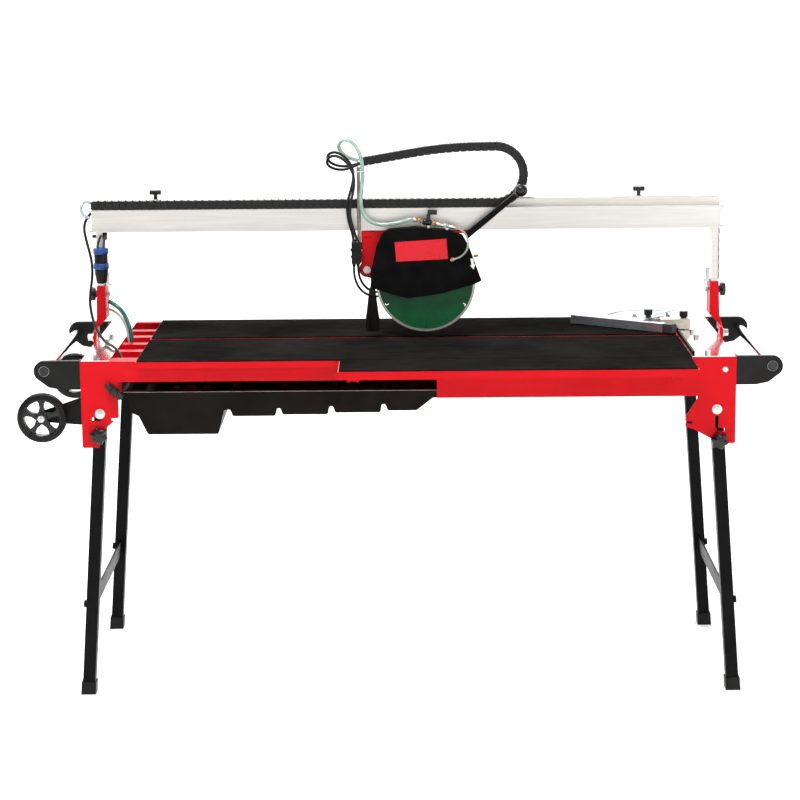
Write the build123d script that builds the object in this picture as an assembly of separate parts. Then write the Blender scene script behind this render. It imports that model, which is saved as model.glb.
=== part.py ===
from build123d import *
from math import cos, radians, sin, sqrt, tan
import os

# Tile cutter: a bridge water saw on two folding leg frames. Millimetres, +Z up, +X to the right of the
# operator, -Y towards the operator. Parts are drawn with x = 0 at the frame's middle, y = 0 at the front
# panel's face and z = 0 on the floor, and are moved at the end so that the origin lies on the floor
# under the middle of the whole machine.

# ---- frame ----
frame_length = 1580.0
frame_depth = 614.0
frame_top = 838.0
sheet = 3.0
rail_depth = 50.0
panel_depth = 95.0
deep_panel_start = 69.0
flange_width = 22.0
flange_gap = 0.4
edge_radius = 10.0
half_length = frame_length / 2

# corner plates, as (inward from the end, down from the top)
left_corner = [(0, 209), (3, 212), (40, 212), (53, 168), (90, 136)]
right_corner = [(0, 209), (3, 212), (34, 212), (64, 197), (102, 176), (121, 170), (121, 146), (93, 102)]
slot_width = 8.0
left_slot = (25.0, 47.0, 141.0)
right_slot_down = 46.0
right_slot_across = 19.0
edge_slot_depth = 18.0
edge_slot_height = 6.0
left_edge_slot_z = 693.0
right_edge_slot_z = 675.0

# ---- table ----
table_left = -655.0
table_right = 684.0
table_sheet = 3.0
table_gap = 0.4
mat_thickness = 4.0
table_overhang = 15.0
lip_height = 19.0
blade_y = 302.0
slot_front_gap = 5.0
slot_rear_gap = 13.0
mat_inset = 3.0
mat_rear_setback = 10.0
table_z = frame_top - table_sheet
table_top = frame_top + mat_thickness
mat_dash_start = 55.0
mat_dash_pitch = 152.5
mat_dash_length = 30.0
mat_dash_width = 3.0
mat_dash_depth = 1.2
mat_dash_rows = [-234.0, -87.0, 96.0, 258.0]
rail_width = 30.0
rail_height = 18.0
rail_centres = [56.0, 172.0, 277.0, 386.0, 482.0]
deck_thickness = 2.0
deck_left_edge = -720.0
stop_width = 5.0
stop_height = 12.0
stop_gap = 1.0
deck_bolt_r = 6.5
deck_bolt_height = 8.0
deck_bolt_inset = 65.0
deck_bolt_places = [38.0, 269.0, 351.0]
front_screw_inset = 27.0
front_screw_drop = 30.0
front_screw_length = 4.0

# ---- handles and wheels ----
handle_reach = 87.0
handle_drop = 23.0
bracket_radius = 25.0
bracket_belly_tip = 10.0
bracket_belly_rise = 6.0
bracket_belly_flat = 40.0
bracket_root_height = 68.0
bracket_thickness = 14.0
bracket_offset = 1.0
bracket_flange = 40.0
bracket_flange_thickness = 5.0
tube_r = 12.5
tube_wall = 2.0
tube_fit = 0.05
wheel_r = 60.0
wheel_width = 28.0
wheel_reach = 99.0
wheel_z = 697.0
wheel_front_y = 24.0
wheel_rear_inset = 24.0
wheel_rim = 14.0
wheel_hub_r = 15.0
wheel_web = 8.0
wheel_window_r = 12.0
wheel_window_ring = 30.0
wheel_windows = 5
wheel_side_gap = 1.0
wheel_arm_thickness = 6.0
wheel_arm_end_r = 14.0
wheel_arm_top = 745.0
wheel_arm_foot = 676.0

# ---- bolts ----
bolt_r = 5.0
head_r = 9.0
head_height = 6.0
washer_r = 12.0
washer_thickness = 2.0
running_clearance = 0.08
side_clearance = 0.5

# ---- legs ----
pivot_inset = 45.0
pivot_z = 710.0
splay_degrees = 4.27
leg_size = 30.0
leg_wall = 2.0
leg_panel_gap = 6.0
leg_above_pivot = 20.0
crossbar_drop = 484.0
crossbar_height = 42.0
crossbar_thickness = 5.0
boss_length = 14.0
boss_r = 9.0
foot_height = 24.0
foot_wall = 3.0
foot_drop_clearance = 8.0
star_r = 22.0
star_hub_r = 10.0
star_thickness = 14.0
star_lobes = 6
star_notch_r = 7.0
star_stud_r = 4.0
star_standoff = 4.0
left_star_drop = 53.0
right_star_drop = 76.0
stud_leg_gap = 0.6

# ---- extension table ----
extension_left = -165.0
extension_right = 681.0
extension_gap = 3.0
extension_depth = 147.0
extension_lip = 22.0
arm_tube_r = 10.0
arm_tube_wall = 2.0
arm_z = 804.0
arm_length = 400.0
arm_inset = 33.0
arm_fit = 0.6
arm_block = 30.0
extension_bolt_spread = 11.0

# ---- fence ----
block_left = 650.0
block_right = 726.0
block_front = 398.0
block_rear = 442.0
block_height = 24.0
block_lift = 0.5
groove_clearance = 0.4
fence_pivot = (623.0, 453.0)
fence_stud_r = 4.0
fence_plate_thickness = 3.0
fence_plate_r = 148.0
fence_bar_size = 22.0
fence_bar_length = 300.0
fence_bar_wall = 2.0
fence_angle = 144.0
fence_bar_offset = 66.0
fence_bar_start = 118.0
fence_arc_r = 105.0
fence_arc_width = 8.0
fence_knob_r = 11.0
fence_knob_height = 18.0
fence_knob_cap = 3.0
base_arm_width = 40.0

# ---- water tray ----
tray_left = -690.0
tray_right = 660.0
tray_front = 50.0
tray_rear_inset = 50.0
tray_rim = 756.0
tray_wall = 3.0
tray_lip = 8.0
tray_sump = 648.0
tray_round = 5.0
sump_left = -636.0
sump_right = -464.0
sump_shoulder = [(-676.0, 702.0), (-658.0, 694.0)]
sump_notch_left = -449.0
cell_starts = [-428.0, -306.0, -178.0, -50.0]
cell_ends = [-324.0, -196.0, -68.0, 20.0]
cell_floors = [692.0, 695.0, 699.0, 703.0]
rib_rise = 16.0
rib_shoulder = 6.0
tray_slope_x = 60.0
tray_slope_z = 734.0
tray_end_z = 745.0
wing_inset = 82.0
wing_z = 767.0
wing_r = 21.0
wing_thickness = 12.0
wing_grip_height = 9.0
wing_stud = 24.0
pump_length = 96.0
pump_width = 80.0
pump_height = 62.0
pump_x = -550.0
pump_y = 285.0
pump_z = 656.0
pump_outlet_r = 7.0
pump_outlet_height = 15.0
pump_barb = 17.0
pump_hanger_width = 16.0
pump_hanger_thickness = 3.0

# ---- bevel towers ----
bevel_z = 848.0
ear_r = 14.0
ear_foot = 34.0
arm_plate = 4.0
arm_frame_gap = 1.0
arm_ear_r = 17.0
arm_ear_rear = 382.0
channel_front = 318.0
channel_rear = 382.0
channel_inner_inset = 26.0
channel_bottom = 892.0
channel_top = 976.0
upright_thickness = 16.0
upright_fit = 0.5
upright_bottom = 925.0
clamp_y = 350.0
clamp_z = 952.0
clamp_r = 5.0
clamp_head_r = 7.0
clamp_head = 8.0
knob_r = 17.0
knob_thickness = 13.0
knob_hub_r = 9.0
knob_hub = 9.0
knob_flutes = 8
knob_flute_r = 3.0
height_screw_r = 3.5
height_screw_y = 330.0
height_screw_length = 34.0
height_nut_r = 9.0
height_nut = 6.0
screw_head_r = 6.0
screw_head = 4.0
connector_x = -766.0
connector_y = 268.0
connector_r = 18.0
connector_bottom = 990.0
connector_length = 89.0
connector_ring_r = 19.5
connector_ring = 15.0
connector_clip = 4.0
connector_clip_reach = 3.0

# ---- beam ----
beam_front = 325.0
beam_depth = 70.0
beam_bottom = 1111.0
beam_ledge = 1167.0
beam_top = 1190.0
beam_left = -795.0
beam_right = 790.0
beam_wall = 3.0
beam_floor = 3.5
rib_front = 357.0
beam_round = 6.0
track_slot = 22.0
groove_height = 3.0
groove_depth = 1.5
groove_up = 6.0
stop_screw_places = [-637.0, 587.0]
stop_screw_r = 5.0
stop_screw_neck = 12.0
stop_head_length = 29.0
stop_head_width = 14.0
stop_head_height = 10.0
end_screw_r = 4.0
end_screw_length = 6.0

# ---- energy chain ----
chain_width = 28.0
chain_height = 22.0
chain_bed_gap = 0.5
chain_radius = 70.5
chain_loop_x = 223.0
chain_end = (-115.0, 1283.0)
chain_sag_point = (57.0, 1312.0)
chain_sag_radius = 600.0

# ---- carriage ----
trolley_left = -95.0
trolley_right = 165.0
trolley_width = 16.0
trolley_height = 26.0
roller_r = 15.0
roller_width = 12.0
roller_gap = 0.25
roller_inset = 35.0
neck_width = 14.0
neck_length = 60.0
bracket_left = -116.0
bracket_right = 4.0
bracket_gap = 2.5
bracket_plate = 5.0
bracket_front_y = 317.0
bracket_bottom = 998.0
post_x = -121.0
post_y = 319.0
post_r = 4.5
post_top = 1263.0
gland_left = -140.0
gland_right = -116.0
gland_front = 290.0
gland_bottom = 1033.0
gland_top = 1083.0

# ---- cutting unit ----
blade_x = 46.0
blade_z = 982.0
blade_r = 125.0
blade_thickness = 1.8
blade_rim = 6.0
blade_rim_thickness = 2.6
blade_bore_r = 12.7
blade_slots = 12
blade_slot_length = 8.0
blade_slot_foot = 5.0
blade_slot_width = 1.4
spindle_r = 8.0
flange_r = 22.0
flange_thickness = 5.0
nut_r = 12.0
nut_height = 8.0
swing_x = -102.0
swing_z = 1013.0
swing_pin_r = 7.0
swing_head_r = 9.0
swing_head = 7.0
swing_front = 324.0
swing_thickness = 14.0
swing_boss_r = 20.0
spindle_boss_r = 34.0
neck_r = 27.0
motor_r = 57.0
motor_length = 190.0
motor_fins = 24
fin_depth = 2.5
fin_width = 3.0
terminal_box = (70.0, 80.0, 34.0)
guard_front = 282.0
guard_rear = 313.0
guard_wall = 2.5
guard_outline = [(-93, 972), (-91, 1015), (-77, 1076), (-61, 1109), (-44, 1118), (20.6, 1123), (107, 1114),
                 (139, 1101), (156, 1070), (186, 987), (169, 979), (84, 955), (2, 944), (-24, 950)]
guard_round = 8.0
guard_open_drop = 40.0
guard_hole_r = 24.0
brush_outline = [(-97, 968), (-93, 972), (-81, 966.4), (-67, 856), (-109, 856)]
brush_front = 288.0
brush_rear = 312.0
lever_width = 16.0
lever_thickness = 12.0
lever_foot = (140.0, 1092.0)
ball_centre = (286.0, 1212.0)
ball_r = 16.0
ball_y = 298.0
valve_start = (20.0, 1141.0)
valve_end = (122.0, 1120.0)
valve_y = 294.0
valve_pipe_r = 4.0
valve_nut_r = 6.5
valve_nut = 12.0
valve_body_r = 8.5
valve_body_length = 22.0
valve_stem_r = 3.0
valve_stem = 13.0
valve_lever_length = 21.0
valve_lever_gap = 1.6
valve_lever_width = 5.0
valve_lever_thickness = 12.0
nozzle_r = 6.0
nozzle_length = 7.0
nozzle_places = [(174.0, 1030.0), (112.0, 1041.0)]

# ---- cords, as points on their routes ----
water_tube_d = 5.0
water_tube_route = [(124, 294, 1119), (138, 291, 1114), (149, 285, 1102), (153, 278, 1086), (151, 275, 1069),
                    (142, 275, 1055), (129, 276, 1046), (115, 279, 1042)]
head_hose_d = 10.0
head_hose_route = [(-120, 339, 1286), (-142, 341, 1291), (-163, 338, 1305), (-172, 327, 1325),
                   (-160, 314, 1341), (-138, 307, 1338), (-121, 304, 1318), (-112, 304, 1290),
                   (-109, 305, 1258), (-112, 306, 1226), (-116, 307, 1194), (-114, 308, 1165),
                   (-100, 307, 1140), (-74, 303, 1128), (-44, 299, 1129), (-14, 296, 1135), (12, 294, 1143)]
head_cable_d = 7.0
head_cable_a = [(-117, 347, 1279), (-141, 347, 1272), (-165, 345, 1271), (-187, 340, 1278),
                (-199, 328, 1291), (-196, 313, 1305), (-180, 303, 1312), (-160, 301, 1304),
                (-143, 302, 1287), (-133, 303, 1264), (-134, 304, 1238), (-141, 306, 1212),
                (-149, 309, 1186), (-150, 311, 1158), (-145, 310, 1130), (-137, 307, 1106), (-134, 305, 1084)]
head_cable_b = [(-117, 334, 1279), (-139, 334, 1268), (-163, 332, 1263), (-186, 326, 1268),
                (-199, 313, 1279), (-198, 299, 1294), (-184, 290, 1304), (-164, 289, 1299),
                (-146, 291, 1283), (-134, 293, 1261), (-131, 295, 1236), (-134, 297, 1210),
                (-141, 299, 1184), (-144, 301, 1157), (-139, 301, 1130), (-130, 299, 1106), (-125, 297, 1084)]
motor_cable_d = 6.0
motor_cable_a = [(-134, 300, 1032), (-135, 302, 1009), (-131, 307, 986), (-121, 315, 964), (-103, 325, 948),
                 (-79, 336, 941), (-54, 346, 942), (-32, 355, 950), (-14, 362, 961)]
motor_cable_b = [(-124, 303, 1032), (-124, 306, 1010), (-119, 312, 988), (-108, 320, 969), (-91, 330, 956),
                 (-69, 342, 950), (-47, 354, 952), (-29, 366, 961), (-13, 377, 972)]
tower_cable_d = 7.0
tower_cable_route = [(-798, 346, 1158), (-811, 342, 1144), (-816, 334, 1121), (-810, 326, 1093),
                     (-801, 319, 1063), (-795, 314, 1032), (-795, 311, 1001), (-800, 308, 970),
                     (-803, 304, 940),
                     (-799, 297, 910), (-790, 285, 882), (-777, 270, 861), (-764, 250, 849),
                     (-752, 225, 845), (-741, 198, 846), (-731, 171, 847), (-719, 147, 843),
                     (-706, 127, 830), (-696, 110, 811)]
end_hose_d = 8.0
end_hose_route = [(-798, 347, 1183), (-807, 346, 1188), (-816, 342, 1186), (-821, 336, 1178), (-821, 330, 1167),
                  (-816, 326, 1157), (-807, 325, 1150), (-798, 327, 1147)]
supply_hose_d = 11.0
supply_hose_route = [(-758, 335, 934), (-742, 327, 928), (-722, 319, 910), (-709, 313, 884), (-702, 311, 855),
                     (-700, 313, 825), (-694, 315, 796), (-680, 312, 771), (-659, 306, 752), (-635, 299, 742),
                     (-614, 291, 737), (-594, 286, 734)]
pump_lead_d = 7.0
pump_lead_route = [(-761, 352, 912), (-747, 347, 908), (-731, 342, 896), (-720, 338, 878), (-713, 336, 856),
                   (-710, 337, 832), (-706, 339, 808), (-696, 338, 784), (-680, 333, 765), (-660, 325, 753),
                   (-637, 317, 747), (-614, 309, 744), (-594, 304, 739), (-579, 301, 728)]


def block(x0, x1, y0, y1, z0, z1):
    """A box between two corners."""
    centre = Pos((x0 + x1) / 2, (y0 + y1) / 2, (z0 + z1) / 2)
    return centre * Box(x1 - x0, y1 - y0, z1 - z0)


def rod_x(r, x0, x1, y, z):
    return Pos((x0 + x1) / 2, y, z) * Rot(0, 90, 0) * Cylinder(r, abs(x1 - x0))


def rod_y(r, y0, y1, x, z):
    return Pos(x, (y0 + y1) / 2, z) * Rot(90, 0, 0) * Cylinder(r, abs(y1 - y0))


def rod_z(r, z0, z1, x, y):
    return Pos(x, y, (z0 + z1) / 2) * Cylinder(r, abs(z1 - z0))


def front_face(points, y):
    """A face in the xz plane at y, with its normal towards the operator."""
    plane = Plane(origin=(0, y, 0), x_dir=(1, 0, 0), z_dir=(0, -1, 0))
    return plane * make_face(Polyline(*points, close=True))


def front_plate(points, y0, y1):
    """An outline in x and z, extruded from y0 to y1."""
    return extrude(front_face(points, y1), y1 - y0)


def side_plate(points, x0, x1):
    """An outline in y and z, extruded from x0 to x1."""
    plane = Plane(origin=(x0, 0, 0), x_dir=(0, 1, 0), z_dir=(1, 0, 0))
    return extrude(plane * make_face(Polyline(*points, close=True)), x1 - x0)


def hex_x(r, x0, x1, y, z):
    plane = Plane(origin=(min(x0, x1), y, z), x_dir=(0, 1, 0), z_dir=(1, 0, 0))
    return extrude(plane * RegularPolygon(r, 6), abs(x1 - x0))


def hex_y(r, y0, y1, x, z):
    plane = Plane(origin=(x, max(y0, y1), z), x_dir=(1, 0, 0), z_dir=(0, -1, 0))
    return extrude(plane * RegularPolygon(r, 6), abs(y1 - y0))


def hex_z(r, z0, z1, x, y):
    return Pos(x, y, z0) * extrude(RegularPolygon(r, 6), z1 - z0)


def ring_of(count, radius, x, z, y0, y1, r):
    """Round cutters along y, evenly spaced on a circle."""
    return [rod_y(r, y0, y1, x + radius * cos(radians(360 / count * i)),
                  z + radius * sin(radians(360 / count * i))) for i in range(count)]


def group(pieces):
    return Compound([piece.solid() for piece in pieces])


def cord_tube(name, points, diameter):
    """Straight runs joined by tangent arcs, each as large as its two runs allow."""
    stops = [Vector(*p) for p in points]
    runs = [(b - a).length for a, b in zip(stops, stops[1:])]
    radii = []
    for i in range(1, len(stops) - 1):
        turn = (stops[i] - stops[i - 1]).get_angle(stops[i + 1] - stops[i])
        radii.append(0.45 * min(runs[i - 1], runs[i]) / tan(radians(turn / 2)))
    path = FilletPolyline(*stops, radius=radii)
    section = Plane(origin=stops[0], z_dir=stops[1] - stops[0]) * Circle(diameter / 2)
    tube = sweep(section, path)
    print(name, "length", round(path.length), "smallest radius", round(min(radii), 1),
          "volume ratio", round(tube.volume / (path.length * section.area), 3))
    return tube


# ---- frame ----
def corner(points, side):
    """Corner plate points of one side, from (inward, down) to x and z."""
    return [(side * (half_length - inward), frame_top - down) for inward, down in points]


def top_line():
    """Upper edge of a long panel, lower where the table rests on it."""
    low = frame_top - table_sheet
    return [(half_length, frame_top), (table_right + table_gap, frame_top), (table_right + table_gap, low),
            (table_left - table_gap, low), (table_left - table_gap, frame_top), (-half_length, frame_top)]


def top_flange(y0, y1):
    """Flange folded inwards from a long panel's upper edge."""
    end = half_length - sheet
    low = frame_top - table_sheet
    left = table_left - table_gap
    right = table_right + table_gap
    flange = block(-end, left, y0, y1, frame_top - sheet, frame_top)
    flange += block(right, end, y0, y1, frame_top - sheet, frame_top)
    return flange + block(left - sheet, right + sheet, y0, y1, low - sheet, low)


def make_front_frame_panel():
    left_end = -half_length + left_corner[-1][0]
    deep_end = half_length - right_corner[-1][0]
    outline = top_line() + corner(left_corner, -1)
    outline += [(left_end, frame_top - rail_depth), (deep_panel_start, frame_top - rail_depth),
                (deep_panel_start, frame_top - panel_depth), (deep_end, frame_top - panel_depth)]
    outline += corner(right_corner, 1)[::-1]
    panel = front_plate(outline, 0, sheet)
    panel += top_flange(sheet - 1, flange_width)
    panel += block(left_end, deep_panel_start, sheet, flange_width / 2,
                   frame_top - rail_depth, frame_top - rail_depth + sheet)
    panel += block(deep_panel_start, deep_end, sheet, flange_width / 2,
                   frame_top - panel_depth, frame_top - panel_depth + sheet)
    return panel - front_panel_cuts()


def front_panel_cuts():
    pivot_left = -half_length + pivot_inset
    pivot_right = half_length - pivot_inset
    s0, s1, drop = left_slot
    cuts = [rod_y(bolt_r + running_clearance, -sheet, 2 * sheet, x, pivot_z) for x in (pivot_left, pivot_right)]
    cuts.append(block(-half_length + s0, -half_length + s1, -sheet, 2 * sheet,
                      frame_top - drop - slot_width / 2, frame_top - drop + slot_width / 2))
    foot = pivot_z - right_slot_down
    cuts.append(block(pivot_right - slot_width / 2, pivot_right + slot_width / 2, -sheet, 2 * sheet,
                      foot, pivot_z - 2 * washer_r + slot_width))
    cuts.append(block(pivot_right, pivot_right + right_slot_across, -sheet, 2 * sheet, foot - slot_width, foot))
    left_edge = -half_length + left_corner[-1][0]
    right_edge = half_length - right_corner[-2][0]
    for x, z in ((left_edge, left_edge_slot_z), (right_edge, right_edge_slot_z)):
        cuts.append(block(x - edge_slot_depth, x + edge_slot_depth, -sheet, 2 * sheet, z, z + edge_slot_height))
    for x, z in star_places():
        cuts.append(rod_y(star_stud_r + running_clearance, -sheet, 2 * sheet, x, z))
    for x in arm_places():
        cuts.append(rod_y(arm_tube_r + arm_fit, -sheet, 2 * sheet, x, arm_z))
    cuts.append(rod_y(star_stud_r + running_clearance, -sheet, 2 * sheet, -half_length + wing_inset, wing_z))
    return cuts


def make_rear_frame_panel():
    y1 = frame_depth
    y0 = frame_depth - sheet
    left_end = -half_length + left_corner[-1][0]
    right_end = half_length - left_corner[-1][0]
    outline = top_line() + corner(left_corner, -1)
    outline += [(left_end, frame_top - panel_depth), (right_end, frame_top - panel_depth)]
    outline += corner(left_corner, 1)[::-1]
    panel = front_plate(outline, y0, y1)
    panel += top_flange(frame_depth - flange_width, y0 + 1)
    for side in (-1, 1):
        panel -= rod_y(bolt_r + running_clearance, y0 - sheet, y1 + sheet, side * (half_length - pivot_inset), pivot_z)
    return panel


def make_end_plates():
    low = frame_top - panel_depth
    outline = [(sheet, low), (frame_depth - sheet, low), (frame_depth - sheet, frame_top),
               (blade_y + ear_foot, frame_top), (blade_y + ear_r, bevel_z), (blade_y - ear_r, bevel_z),
               (blade_y - ear_foot, frame_top), (sheet, frame_top)]
    plates = []
    for side in (-1, 1):
        inner = side * (half_length - sheet)
        outer = side * half_length
        plate = side_plate(outline, min(inner, outer), max(inner, outer))
        plate += rod_x(ear_r, inner, outer, blade_y, bevel_z)
        plate -= rod_x(bolt_r + running_clearance, inner - side * sheet, outer + side * sheet, blade_y, bevel_z)
        plates.append(plate)
    return group(plates)


def make_deck_plates():
    edge = half_length - sheet - flange_gap
    low = frame_top
    high = frame_top + deck_thickness
    left = block(-edge, deck_left_edge, sheet, frame_depth - sheet, low, high)
    right = block(table_right + flange_gap, edge, sheet, frame_depth - sheet, low, high)
    return group([left, right])


def make_table_rails():
    high = table_z
    end = half_length - sheet
    return group([block(-end, end, y - rail_width / 2, y + rail_width / 2, high - rail_height, high)
                  for y in rail_centres])


def table_half(y0, y1):
    return block(table_left, table_right, y0, y1, table_z, frame_top)


def make_front_table():
    half = table_half(-table_overhang, blade_y - slot_front_gap)
    return half + block(table_left, table_right, -table_overhang, -table_overhang + table_sheet,
                        table_top - lip_height, frame_top)


def make_rear_table():
    return table_half(blade_y + slot_rear_gap, frame_depth - sheet)


def dashed_mat(x0, x1, y0, y1):
    """A rubber mat with rows of short moulded dashes, placed from the blade's line."""
    mat = block(x0, x1, y0, y1, frame_top, table_top)
    count = int((x1 - x0 - mat_dash_start) / mat_dash_pitch) + 1
    dashes = []
    for y in [blade_y + row for row in mat_dash_rows]:
        if y0 + mat_dash_width < y < y1 - mat_dash_width:
            for i in range(count):
                x = x0 + mat_dash_start + i * mat_dash_pitch
                dashes.append(block(x - mat_dash_length / 2, x + mat_dash_length / 2, y - mat_dash_width / 2,
                                    y + mat_dash_width / 2, table_top - mat_dash_depth, table_top + 1))
    return mat - dashes if dashes else mat


def make_table_mats():
    x0 = table_left + mat_inset
    x1 = table_right - mat_inset
    front = dashed_mat(x0, x1, mat_inset / 2 - table_overhang, blade_y - slot_front_gap)
    rear = dashed_mat(x0, x1, blade_y + slot_rear_gap + mat_rear_setback, frame_depth - sheet - mat_inset)
    return group([front, rear])


def make_side_stops():
    x0 = table_right + stop_gap
    z0 = frame_top + deck_thickness
    front = block(x0, x0 + stop_width, 2 * sheet, blade_y + slot_rear_gap, z0, z0 + stop_height)
    rear = block(x0, x0 + stop_width, blade_y + slot_rear_gap + ear_foot, frame_depth - 2 * sheet, z0, z0 + stop_height)
    return group([front, rear])


def make_frame_bolts():
    """Deck screws, leg pivots, wheel axles and bevel pivots, each a separate bolt."""
    bolts = []
    deck = frame_top + deck_thickness
    for y in deck_bolt_places:
        bolts.append(hex_z(deck_bolt_r, deck, deck + deck_bolt_height, half_length - deck_bolt_inset, y))
        bolts.append(hex_z(deck_bolt_r, deck, deck + deck_bolt_height, -half_length + deck_bolt_inset / 2, y))
    bolts.append(rod_y(deck_bolt_r, -front_screw_length, 0, half_length - front_screw_inset,
                       frame_top - front_screw_drop))
    leg_rear = sheet + leg_panel_gap + leg_size
    for side in (-1, 1):
        x = side * (half_length - pivot_inset)
        bolts.append(leg_bolt(x, 0, leg_rear, -1))
        bolts.append(leg_bolt(x, frame_depth, frame_depth - leg_rear, 1))
        bolts.append(bevel_bolt(side))
    for y, arm in wheel_places():
        bolts.append(axle_bolt(y, arm))
    return group(bolts)


def leg_bolt(x, panel_y, leg_y, out):
    """A leg pivot bolt: washer and head outside the panel, shank through the leg."""
    face = panel_y + out * washer_thickness
    bolt = rod_y(bolt_r, face, leg_y - out * side_clearance, x, pivot_z)
    bolt += rod_y(washer_r, panel_y, face, x, pivot_z)
    return bolt + hex_y(head_r, face, face + out * head_height, x, pivot_z)


def bevel_bolt(side):
    inner = side * (half_length - sheet - side_clearance)
    face = side * (half_length + arm_frame_gap + arm_plate + side_clearance)
    bolt = rod_x(bolt_r, inner, face, blade_y, bevel_z)
    bolt += rod_x(washer_r - 1, face, face + side * washer_thickness, blade_y, bevel_z)
    return bolt + hex_x(head_r, face + side * washer_thickness,
                        face + side * (washer_thickness + 2 * head_height), blade_y, bevel_z)


def wheel_places():
    """Each wheel's centre, and the y of the frame side of its bracket arm."""
    front = wheel_front_y
    rear = frame_depth - wheel_rear_inset
    gap = wheel_width / 2 + wheel_side_gap
    return [(front, front + gap), (rear, rear - gap - wheel_arm_thickness)]


def axle_bolt(y, arm):
    x = -half_length - wheel_reach
    out = -1 if arm > y else 1
    head = y + out * (wheel_width / 2 + wheel_side_gap)
    bolt = rod_y(bolt_r, head, arm if arm > y else arm + wheel_arm_thickness, x, wheel_z)
    return bolt + hex_y(head_r, head, head + out * head_height, x, wheel_z)


def make_end_brackets():
    """Four carry-handle brackets and two wheel arms."""
    pieces = []
    for side in (-1, 1):
        pieces.append(handle_bracket(side, bracket_offset))
        pieces.append(handle_bracket(side, frame_depth - bracket_offset - bracket_thickness))
    for _, arm in wheel_places():
        pieces.append(wheel_arm(arm))
    return group(pieces)


def handle_bracket(side, y0):
    x_root = side * half_length
    x_tip = side * (half_length + handle_reach)
    z_tip = frame_top - handle_drop
    y1 = y0 + bracket_thickness
    low = sqrt(0.5) * bracket_radius
    foot = frame_top - bracket_root_height
    outline = [(x_root, frame_top + 2), (x_tip, z_tip + bracket_radius), (x_tip + side * low, z_tip - low),
               (x_tip - side * bracket_belly_tip, foot + bracket_belly_rise), (x_tip - side * bracket_belly_flat, foot),
               (x_root, foot)]
    arm = front_plate(outline, y0, y1) + rod_y(bracket_radius, y0, y1, x_tip, z_tip)
    flange_y = (y0, y0 + bracket_flange) if y0 < frame_depth / 2 else (y1 - bracket_flange, y1)
    inner, outer = sorted((x_root, x_root + side * bracket_flange_thickness))
    arm += block(inner, outer, flange_y[0], flange_y[1], frame_top - bracket_root_height, frame_top)
    return arm - rod_y(tube_r + tube_fit, y0 - 1, y1 + 1, x_tip, z_tip)


def wheel_arm(y0):
    y1 = y0 + wheel_arm_thickness
    x_tip = -half_length - wheel_reach
    outline = [(-half_length, wheel_arm_top), (x_tip, wheel_z + wheel_arm_end_r),
               (x_tip, wheel_z - wheel_arm_end_r), (-half_length - 10, wheel_arm_foot), (-half_length, wheel_arm_foot)]
    arm = front_plate(outline, y0, y1) + rod_y(wheel_arm_end_r, y0, y1, x_tip, wheel_z)
    flange_y = (y0, y0 + flange_width) if y0 < frame_depth / 2 else (y1 - flange_width, y1)
    arm += block(-half_length - bracket_flange_thickness, -half_length, flange_y[0], flange_y[1],
                 wheel_arm_foot, wheel_arm_top + flange_width)
    return arm - rod_y(bolt_r, y0 - 1, y1 + 1, x_tip, wheel_z)


def make_handle_tubes():
    tubes = []
    for side in (-1, 1):
        x = side * (half_length + handle_reach)
        z = frame_top - handle_drop
        tube = rod_y(tube_r, bracket_offset, frame_depth - bracket_offset, x, z)
        tubes.append(tube - rod_y(tube_r - tube_wall, -1, frame_depth + 1, x, z))
    return group(tubes)


def make_wheel(y):
    x = -half_length - wheel_reach
    y0 = y - wheel_width / 2
    y1 = y + wheel_width / 2
    wheel = rod_y(wheel_r, y0, y1, x, wheel_z) - rod_y(wheel_r - wheel_rim, y0, y1, x, wheel_z)
    wheel += rod_y(wheel_r - wheel_rim + 1, y - wheel_web / 2, y + wheel_web / 2, x, wheel_z)
    wheel += rod_y(wheel_hub_r, y0, y1, x, wheel_z)
    wheel -= ring_of(wheel_windows, wheel_window_ring, x, wheel_z, y0, y1, wheel_window_r)
    return wheel - rod_y(bolt_r + running_clearance, y0 - 1, y1 + 1, x, wheel_z)


# ---- legs ----
def leg_centres():
    """The y of the front and the rear leg's middle."""
    offset = sheet + leg_panel_gap + leg_size / 2
    return offset, frame_depth - offset


def tilt_leg(part, side):
    """Turns a part drawn hanging straight down from the pivot to its splayed place."""
    pivot = Pos(side * (half_length - pivot_inset), 0, pivot_z)
    return pivot * Rot(0, side * -splay_degrees, 0) * part


def leg_length():
    return (pivot_z - foot_drop_clearance) / cos(radians(splay_degrees))


def make_leg_frame(side):
    half = leg_size / 2
    inner = half - leg_wall
    frame = None
    for y in leg_centres():
        tube = block(-half, half, y - half, y + half, -leg_length(), leg_above_pivot)
        tube -= block(-inner, inner, y - inner, y + inner, -leg_length() - 1, leg_above_pivot - leg_wall)
        tube -= rod_y(bolt_r + running_clearance, y - leg_size, y + leg_size, 0, 0)
        boss_x = side * half
        tube += rod_x(boss_r, boss_x, boss_x + side * boss_length / 2, y, -crossbar_drop)
        frame = tube if frame is None else frame + tube
    y0, y1 = leg_centres()
    frame += block(-crossbar_thickness / 2, crossbar_thickness / 2, y0 + half - 1, y1 - half + 1,
                   -crossbar_drop - crossbar_height / 2, -crossbar_drop + crossbar_height / 2)
    return tilt_leg(frame, side)


def make_feet(side):
    half = leg_size / 2
    feet = []
    floor_box = block(-2 * frame_length, 2 * frame_length, -frame_depth, 2 * frame_depth, 0, pivot_z / 2)
    for y in leg_centres():
        cap = block(-half - foot_wall, half + foot_wall, y - half - foot_wall, y + half + foot_wall,
                    -leg_length() - 2 * foot_wall - foot_drop_clearance, -leg_length() + foot_height)
        cap -= block(-half, half, y - half, y + half, -leg_length(), -leg_length() + 2 * foot_height)
        feet.append((tilt_leg(cap, side) & floor_box).solid())
    return group(feet)


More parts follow.
